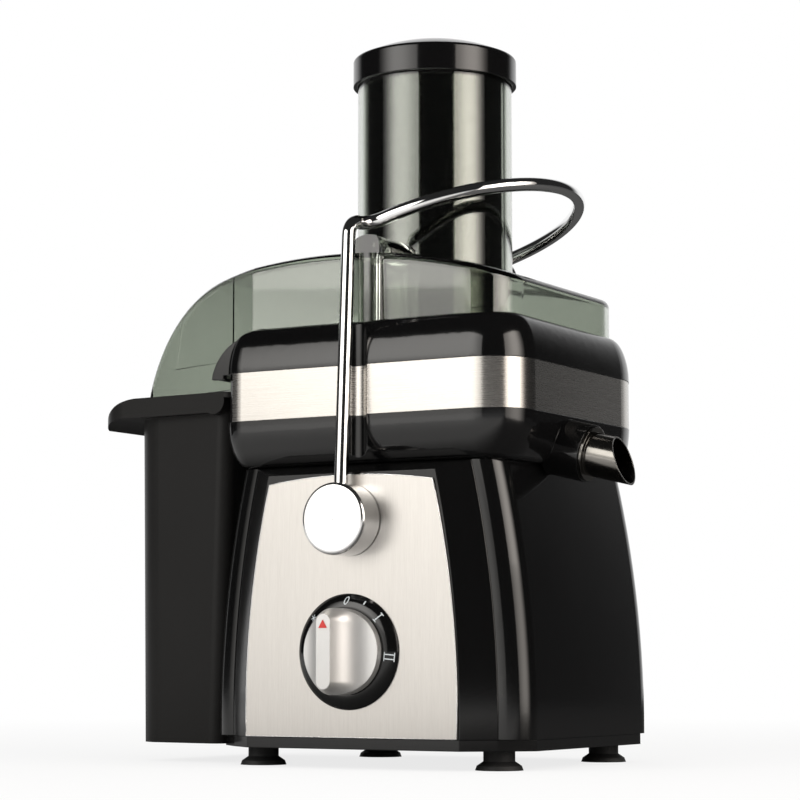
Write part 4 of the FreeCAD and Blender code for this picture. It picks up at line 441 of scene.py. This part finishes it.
# %% Make the plastics and the rubber
looks = {
    "gloss_black": moulded("gloss_black", colour=(0.003, 0.003, 0.0031), gloss=(0.07, 0.13),
                           grain=420, strength=0.02),
    "satin_black": moulded("satin_black", colour=(0.011, 0.0106, 0.0103), gloss=(0.34, 0.44),
                           grain=1500, strength=0.10, Specular_IOR_Level=0.14),
    "black_pusher": moulded("black_pusher", colour=(0.004, 0.004, 0.0042), gloss=(0.08, 0.14),
                            grain=420, strength=0.01, Specular_IOR_Level=1.0,
                            Coat_Weight=1.0, Coat_IOR=1.7, Coat_Roughness=0.08),
    "silver": moulded("silver_paint", colour=(0.66, 0.655, 0.645), gloss=(0.42, 0.50),
                      grain=3000, strength=0.06, Metallic=0.9),
    "red_mark": moulded("red_print", colour=(0.55, 0.02, 0.015), gloss=(0.3, 0.4),
                        grain=2000, strength=0.05, edge=0.0),
    "rubber": moulded("foot_rubber", colour=(0.010, 0.010, 0.010), gloss=(0.55, 0.75),
                      grain=2500, strength=0.25),
    "carbon": moulded("brush_carbon", colour=(0.03, 0.03, 0.032), gloss=(0.55, 0.7),
                      grain=3000, strength=0.3),
    "board": moulded("board_green", colour=(0.02, 0.13, 0.05), gloss=(0.3, 0.45),
                     grain=1200, strength=0.1),
}
print("plastics", sorted(looks))

# %% [markdown]
# ## Metals
# The two steel trims differ in the way that their lines run: up the front panel, and around the bowl.
# Brushed metal smears a reflection across its lines, so both are anisotropic: the panel smears
# sideways, and the band, whose tangent is turned by a quarter, smears up and down.

# %% Make the metals
QUARTER_TURN = 0.25
looks.update({
    "polished_steel": brushed("polished_steel", low=(0.80, 0.80, 0.80), high=(0.88, 0.88, 0.88),
                              per_metre=(60, 60, 60), rough=(0.03, 0.06), strength=0.01),
    "machine_steel": brushed("machine_steel", low=(0.46, 0.46, 0.47), high=(0.60, 0.60, 0.61),
                             per_metre=(700, 700, 4000), rough=(0.22, 0.34), strength=0.08),
    "bracket_metal": brushed("cast_bracket", low=(0.50, 0.51, 0.53), high=(0.62, 0.63, 0.65),
                             per_metre=(900, 900, 900), rough=(0.40, 0.55), strength=0.2),
    "lamination": brushed("stacked_sheet", low=(0.16, 0.16, 0.18), high=(0.30, 0.30, 0.32),
                          per_metre=(20, 20, 3000), rough=(0.40, 0.55), strength=0.3),
    "copper": brushed("wound_copper", low=(0.50, 0.20, 0.09), high=(0.78, 0.38, 0.20),
                      per_metre=(200, 200, 2600), rough=(0.25, 0.40), strength=0.5),
    "mesh_steel": brushed("filter_steel", low=(0.56, 0.56, 0.57), high=(0.70, 0.70, 0.71),
                          per_metre=(900, 900, 900), rough=(0.20, 0.32), strength=0.05),
})
panel_steel = brushed("panel_steel", low=(0.54, 0.515, 0.485), high=(0.74, 0.715, 0.68),
                      per_metre=(5200, 5200, 160), rough=(0.30, 0.40), strength=0.05, Anisotropic=0.5)
band_steel = brushed("band_steel", low=(0.42, 0.398, 0.37), high=(0.60, 0.58, 0.55),
                     per_metre=(90, 90, 5200), rough=(0.22, 0.32), strength=0.05,
                     Anisotropic=0.7, Anisotropic_Rotation=QUARTER_TURN)
spout_steel = brushed("spout_steel", low=(0.15, 0.143, 0.132), high=(0.25, 0.238, 0.22),
                      per_metre=(300, 900, 900), rough=(0.12, 0.20), strength=0.03)
cap_steel = brushed("cap_steel", low=(0.78, 0.78, 0.78), high=(0.86, 0.86, 0.86),
                    per_metre=(60, 60, 60), rough=(0.13, 0.18), strength=0.01)
for material in (panel_steel, band_steel):
    tree = material.node_tree
    tangent = add(tree, "ShaderNodeTangent", direction_type="RADIAL", axis="Z")
    shader = next(node for node in tree.nodes if node.type == "BSDF_PRINCIPLED")
    feed(tree, tangent.outputs["Tangent"], shader.inputs["Tangent"])
print("finishes so far", len(bpy.data.materials))

# %% [markdown]
# ## Smoke plastic
# The lid and the feed tube are clear plastic with a grey-green smoke tint. A transmitting Principled
# shader gives the thickness and the reflections at once: the colour is what is left of white light
# after one wall. The tube is a little lighter, so that the black pusher inside it shows the lamps, and
# the lid mirrors a little more. The roughness stays low and even, so that the bowl shows through.

# %% Make the smoke plastic
CLEAR = {"Transmission_Weight": 1.0, "Roughness": 0.03}
smoke_lid = finish("smoke_lid", (0.56, 0.595, 0.535), IOR=1.58, **CLEAR)[0]
smoke_tube = finish("smoke_tube", (0.58, 0.61, 0.555), IOR=1.55, **CLEAR)[0]
print("smoke", smoke_lid.name, smoke_tube.name)

# %% Put the finishes on the solids
def coat(mesh, material):
    """Give a mesh one finish."""
    mesh.materials.clear()
    mesh.materials.append(material)


own_finish = {
    "front_panel": panel_steel, "bowl_band": band_steel, "juice_spout": spout_steel,
    "front_pivot_cap": cap_steel, "rear_pivot_cap": cap_steel, "lid": smoke_lid, "feed_tube": smoke_tube,
}
for slot, nodes in nodes_of_slot.items():
    for node in nodes:
        coat(frame["nodes"][node].data, own_finish.get(node) or looks[slot])
print("dressed", sum(map(len, nodes_of_slot.values())), "solids")

# %% [markdown]
# ## Dial print
# The speeds are printed in white on the black ring: a pulse star, 0, I and II. After the 0 a short dash
# in the print's colour is a painted glint on the ring's bevel.
# Blender's own typeface has no serifs, so the strokes are thin plates laid out on the ring, and only
# the 0 is text, made a mesh before it is placed. Each mark stands upright at the top of the dial and
# is then turned to its angle. The ring's face is curved, so the marks are cut into short steps, and
# each point moves back until a ray finds the ring. Print has almost no thickness, so it stands under
# a tenth of a millimetre proud.

# %% Build the helpers for pieces
def to_piece(name, mesh, material, body):
    """Make a mesh a finished piece that moves with a body."""
    coat(mesh, material)
    item = bpy.data.objects.new(name, mesh)
    scene.collection.objects.link(item)
    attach(item, body)


def plain_mesh(holder):
    """What an object shows, as a plain mesh; the object itself is removed."""
    scene.collection.objects.link(holder)
    bpy.context.view_layer.update()
    shown = holder.evaluated_get(bpy.context.evaluated_depsgraph_get())
    mesh = bpy.data.meshes.new_from_object(shown)
    bpy.data.objects.remove(holder)
    return mesh


def joined(name, shapes):
    """Several meshes in one, with their faces outwards."""
    build = bmesh.new()
    for shape in shapes:
        build.from_mesh(shape)
    bmesh.ops.recalc_face_normals(build, faces=build.faces)
    mesh = bpy.data.meshes.new(name)
    build.to_mesh(mesh)
    build.free()
    return mesh


# %% Print the dial
PRINT_RADIUS = 0.0247
PRINT_PROUD = 0.00006
PRINT_STEP = 0.001
PRINT_CUTS = 7
RAY_GAP = 0.02
DETENT = 48.0
STROKE = 0.00055
FINE_STROKE = 0.7 * STROKE
BOLD_STROKE = 1.4 * STROKE
SERIF = 0.0022
BAR = 0.0046
STAR = 0.75 * BAR
STAR_LEANS = (0, 60, 120)
# The painted glint: a short dash on the ring's bevel, with its length and its rise off the print radius.
PAINTED_GLINT = 0.4 * BAR
PAINTED_GLINT_RISE = 0.0012
ZERO_SIZE = 0.0058
ZERO_SLANT = 0.25
ring_low, ring_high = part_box("dial_bezel")
dial_centre = [(low + high) / 2 for low, high in zip(ring_low, ring_high)]
# One colour serves the print and the painted glint on the bevel.
print_and_glint_white = moulded("print_and_glint_white", colour=(0.50, 0.54, 0.56), gloss=(0.4, 0.5),
                      grain=2000, strength=0.05, edge=0.0)


def on_ring(mesh, degrees):
    """Move a mark, drawn upright round the origin, to its clockwise angle on the ring."""
    seat = Matrix.Translation((dial_centre[0], ring_low[1], dial_centre[2]))
    lift = Matrix.Translation((0, 0, PRINT_RADIUS))
    mesh.transform(seat @ Matrix.Rotation(math.radians(degrees), 4, "Y") @ lift)
    return mesh


def strokes(name, plates):
    """Thin plates as one mark; each has a centre, a width, a height and a lean in degrees."""
    build = bmesh.new()
    for x, z, width, height, lean in plates:
        shape = Matrix.Diagonal((width, 2 * PRINT_PROUD, height, 1.0))
        turn = Matrix.Rotation(math.radians(lean), 4, "Y")
        bmesh.ops.create_cube(build, size=1.0, matrix=Matrix.Translation((x, 0, z)) @ turn @ shape)
    mesh = bpy.data.meshes.new(name)
    build.to_mesh(mesh)
    build.free()
    return mesh


def numeral(name, bars):
    """A Roman numeral: upright bars between two serifs."""
    wide = SERIF * len(bars)
    ends = [(0, side * BAR / 2, wide, FINE_STROKE, 0) for side in (-1, 1)]
    return strokes(name, ends + [(x, 0, STROKE, BAR, 0) for x in bars])


def zero():
    """A slanted 0 as a mesh, facing the front."""
    curve = bpy.data.curves.new("zero", "FONT")
    curve.body = "0"
    curve.size = ZERO_SIZE
    curve.shear = ZERO_SLANT
    curve.align_x = "CENTER"
    curve.align_y = "CENTER"
    curve.extrude = PRINT_PROUD
    mesh = plain_mesh(bpy.data.objects.new("zero", curve))
    mesh.transform(Matrix.Rotation(math.pi / 2, 4, "X"))
    return mesh


def laid_on_ring(mesh):
    """A flat print cut into short steps and laid on the ring's face."""
    ring = frame["nodes"]["dial_bezel"].data
    face = BVHTree.FromPolygons([v.co for v in ring.vertices], [p.vertices for p in ring.polygons])
    build = bmesh.new()
    build.from_mesh(mesh)
    long_edges = [edge for edge in build.edges if edge.calc_length() > PRINT_STEP]
    bmesh.ops.subdivide_edges(build, edges=long_edges, cuts=PRINT_CUTS)
    for vertex in build.verts:
        start = (vertex.co.x, ring_low[1] - RAY_GAP, vertex.co.z)
        vertex.co.y += face.ray_cast(start, (0, 1, 0))[0].y - ring_low[1]
    build.to_mesh(mesh)
    build.free()
    return mesh


marks = [
    on_ring(strokes("pulse", [(0, 0, FINE_STROKE, STAR, lean) for lean in STAR_LEANS]), -DETENT),
    on_ring(zero(), 0),
    # A painted glint of the ring's bevel, in the print's colour, not a printed mark.
    on_ring(strokes("painted_glint", [(0, PAINTED_GLINT_RISE, BOLD_STROKE, PAINTED_GLINT, 0)]), DETENT / 2),
    on_ring(numeral("one", [0]), DETENT),
    on_ring(numeral("two", [-SERIF / 2, SERIF / 2]), 2 * DETENT),
]
to_piece("dial_print_and_glint", laid_on_ring(joined("dial_print_and_glint", marks)), print_and_glint_white, "housing")
print("marks", len(marks))

# %% [markdown]
# ## Shapes that repeat
# Holes, screw recesses and trims follow a rule, so Geometry Nodes grow them: one small shape, and
# points or a path that say where it goes. The sizes are named inputs, so a hole or a row can be
# changed in one place. The result becomes a plain mesh, because an export keeps no instances.

# %% Build the helpers for grown shapes
def new_shape(name, inputs):
    """A Geometry Nodes tree with named inputs; returns the tree and its two ends."""
    tree = bpy.data.node_groups.new(name, "GeometryNodeTree")
    tree.interface.new_socket("Geometry", in_out="INPUT", socket_type="NodeSocketGeometry")
    for label, kind in inputs:
        tree.interface.new_socket(label, in_out="INPUT", socket_type=f"NodeSocket{kind}")
    tree.interface.new_socket("Geometry", in_out="OUTPUT", socket_type="NodeSocketGeometry")
    return tree, tree.nodes.new("NodeGroupInput").outputs, tree.nodes.new("NodeGroupOutput").inputs


def scatter(tree, points, shape, result, rotation=None):
    """End a tree: a copy of a shape on every point, as real geometry."""
    copies = add(tree, "GeometryNodeInstanceOnPoints")
    real = add(tree, "GeometryNodeRealizeInstances")
    feed(tree, points, copies.inputs["Points"])
    feed(tree, shape, copies.inputs["Instance"])
    if rotation:
        feed(tree, rotation, copies.inputs["Rotation"])
    feed(tree, copies.outputs["Instances"], real.inputs["Geometry"])
    feed(tree, real.outputs["Geometry"], result["Geometry"])


def vector(tree, x, y, z):
    """A vector from three values."""
    node = add(tree, "ShaderNodeCombineXYZ")
    for axis, value in zip("XYZ", (x, y, z)):
        feed(tree, value, node.inputs[axis])
    return node.outputs["Vector"]


def grown(name, tree, seed_data, sizes):
    """The plain mesh that a tree grows on a mesh or curve, with these sizes."""
    holder = bpy.data.objects.new(name, seed_data)
    modifier = holder.modifiers.new(name, "NODES")
    modifier.node_group = tree
    for item in tree.interface.items_tree:
        if item.in_out == "INPUT" and item.name in sizes:
            modifier[item.identifier] = sizes[item.name]
    mesh = plain_mesh(holder)
    mesh.name = name
    return mesh


# %% [markdown]
# ## Filter holes
# The basket's wall is a fine sieve, a cone of thin sheet with staggered rows of holes. Cutting them
# with a Boolean would be slow and heavy. Instead a near-black plug with six sides fills each hole and
# stands a hair proud of the wall on both faces; its colour is the painted shade seen in a hole. Its row
# and column come from the point's index, and every second row is shifted by half a step.

# %% Grow the filter holes
HOLE_SIDES = 6
HOLE_ROWS = 16
HOLE_COLUMNS = 104
HOLE_RADIUS = 0.0007
HOLE_PROUD = 0.00006
HALF_STEP = 0.5
SHEET = 0.0008
MARGIN = 0.004
tree, given, result = new_shape("filter_holes", (
    ("Rows", "Int"), ("Columns", "Int"), ("Low radius", "Float"), ("High radius", "Float"),
    ("Low height", "Float"), ("High height", "Float"),
    ("Hole radius", "Float"), ("Hole depth", "Float")))
index = add(tree, "GeometryNodeInputIndex").outputs["Index"]
row = maths(tree, "FLOOR", maths(tree, "DIVIDE", index, given["Columns"]))
shift = maths(tree, "MULTIPLY", maths(tree, "MODULO", row, 2.0), HALF_STEP)
step = maths(tree, "DIVIDE", 2 * math.pi, given["Columns"])
turn = maths(tree, "MULTIPLY", maths(tree, "ADD", index, shift), step)
share = maths(tree, "DIVIDE", row, maths(tree, "SUBTRACT", given["Rows"], 1.0))
widening = maths(tree, "SUBTRACT", given["High radius"], given["Low radius"])
rise = maths(tree, "SUBTRACT", given["High height"], given["Low height"])
radius = maths(tree, "ADD", given["Low radius"], maths(tree, "MULTIPLY", share, widening))
height = maths(tree, "ADD", given["Low height"], maths(tree, "MULTIPLY", share, rise))
cosine = maths(tree, "COSINE", turn)
sine = maths(tree, "SINE", turn)
slope = maths(tree, "MULTIPLY", maths(tree, "DIVIDE", widening, rise), -1.0)
points = add(tree, "GeometryNodePoints")
feed(tree, maths(tree, "MULTIPLY", given["Rows"], given["Columns"]), points.inputs["Count"])
along, across = (maths(tree, "MULTIPLY", radius, part) for part in (cosine, sine))
feed(tree, vector(tree, along, across, height), points.inputs["Position"])
outward = add(tree, "FunctionNodeAlignRotationToVector", axis="Z")
feed(tree, vector(tree, cosine, sine, slope), outward.inputs["Vector"])
plug = add(tree, "GeometryNodeMeshCylinder")
plug.inputs["Vertices"].default_value = HOLE_SIDES
feed(tree, given["Hole radius"], plug.inputs["Radius"])
feed(tree, given["Hole depth"], plug.inputs["Depth"])
scatter(tree, points.outputs["Points"], plug.outputs["Mesh"], result, outward.outputs["Rotation"])

wall_low, wall_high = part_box("filter_basket")
disc_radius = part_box("grater_disc")[1][0]
wide = wall_high[0] - SHEET / 2
narrow = disc_radius + SHEET / 2
lean = (wide - narrow) / (wall_high[2] - wall_low[2])
holes = grown("filter_holes", tree, bpy.data.meshes.new("filter_seed"), {
    "Rows": HOLE_ROWS, "Columns": HOLE_COLUMNS,
    "Low radius": narrow + lean * MARGIN, "High radius": wide - lean * MARGIN,
    "Low height": wall_low[2] + MARGIN, "High height": wall_high[2] - MARGIN,
    "Hole radius": HOLE_RADIUS, "Hole depth": SHEET + 2 * HOLE_PROUD})
# The plugs' near-black colour is painted shade: the dark that shows through a hole.
painted_hole_shade = moulded("painted_hole_shade", colour=(0.012, 0.012, 0.013), gloss=(0.5, 0.7),
                    grain=3000, strength=0.1, edge=0.0)
to_piece("filter_holes", holes, painted_hole_shade, "rotor")
print("filter holes", len(holes.polygons) // (HOLE_SIDES + 2))

# %% [markdown]
# ## Panel trim
# The steel panel's cut edge is finished with a thin bright bead that catches the light all round.
# A round wire swept along the panel's outline makes it, and the outline is read from the panel's own
# solid: it is convex, so the hull of its points, seen from the front, is the path.

# %% Grow the panel trim
BEAD_SIDES = 8
BEAD_RADIUS = 0.00024
DECIMALS = 6
tree, given, result = new_shape("edge_bead", (("Bead radius", "Float"),))
wire = add(tree, "GeometryNodeCurvePrimitiveCircle", mode="RADIUS")
wire.inputs["Resolution"].default_value = BEAD_SIDES
feed(tree, given["Bead radius"], wire.inputs["Radius"])
swept = add(tree, "GeometryNodeCurveToMesh")
feed(tree, given["Geometry"], swept.inputs["Curve"])
feed(tree, wire.outputs["Curve"], swept.inputs["Profile Curve"])
feed(tree, swept.outputs["Mesh"], result["Geometry"])


def bends_in(first, second, third):
    """Whether three spots in a row lie straight or turn away from the outline's inside."""
    along = second[0] - first[0]
    up = second[1] - first[1]
    return along * (third[1] - first[1]) <= up * (third[0] - first[0])


def half_hull(spots):
    """One side of the convex outline of sorted spots."""
    chain = []
    for spot in spots:
        while len(chain) > 1 and bends_in(chain[-2], chain[-1], spot):
            chain.pop()
        chain.append(spot)
    return chain[:-1]


panel_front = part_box("front_panel")[0][1]
panel_points = [vertex.co for vertex in frame["nodes"]["front_panel"].data.vertices]
flat = sorted({(round(point.x, DECIMALS), round(point.z, DECIMALS)) for point in panel_points})
outline = half_hull(flat) + half_hull(flat[::-1])
route = bpy.data.curves.new("panel_outline", "CURVE")
route.dimensions = "3D"
spline = route.splines.new("POLY")
spline.points.add(len(outline) - 1)
spline.use_cyclic_u = True
for point, (x, z) in zip(spline.points, outline):
    point.co = (x, panel_front, z, 1.0)
bead = joined("panel_trim", [grown("bead", tree, route, {"Bead radius": BEAD_RADIUS})])
to_piece("panel_trim", bead, looks["polished_steel"], "housing")
print("trim points", len(outline))

# %% [markdown]
# ## Screw recesses
# The four screws under the tray have a cross recess for the driver. Two crossed near-black bars at each
# head stand in for it, their colour the painted shade inside the recess; the heads' places are read from
# the solid, one in each quarter of the tray.

# %% Grow the screw recesses
RECESS = {"Length": 0.0034, "Width": 0.0008, "Depth": 0.0001}
tree, given, result = new_shape("cross_recess", [(label, "Float") for label in RECESS])
pair = add(tree, "GeometryNodeJoinGeometry")
for x, y in ((given["Length"], given["Width"]), (given["Width"], given["Length"])):
    bar = add(tree, "GeometryNodeMeshCube")
    feed(tree, vector(tree, x, y, given["Depth"]), bar.inputs["Size"])
    feed(tree, bar.outputs["Mesh"], pair.inputs["Geometry"])
scatter(tree, given["Geometry"], pair.outputs["Geometry"], result)


def underside(spots):
    """The middle of a group of spots, at the height of the lowest one."""
    low, high = ([pick(spot[k] for spot in spots) for k in range(3)] for pick in (min, max))
    return (low[0] + high[0]) / 2, (low[1] + high[1]) / 2, low[2]


quarters = {}
for vertex in frame["nodes"]["tray_screws"].data.vertices:
    quarters.setdefault((vertex.co.x > 0, vertex.co.y > 0), []).append(vertex.co)
heads = bpy.data.meshes.new("screw_heads")
heads.from_pydata([underside(spots) for spots in quarters.values()], [], [])
crosses = grown("screw_recesses", tree, heads, RECESS)
# The bars carry the painted hole shade that falls inside a cross recess.
to_piece("screw_recesses", crosses, painted_hole_shade, "housing")
print("screw recesses", len(quarters))
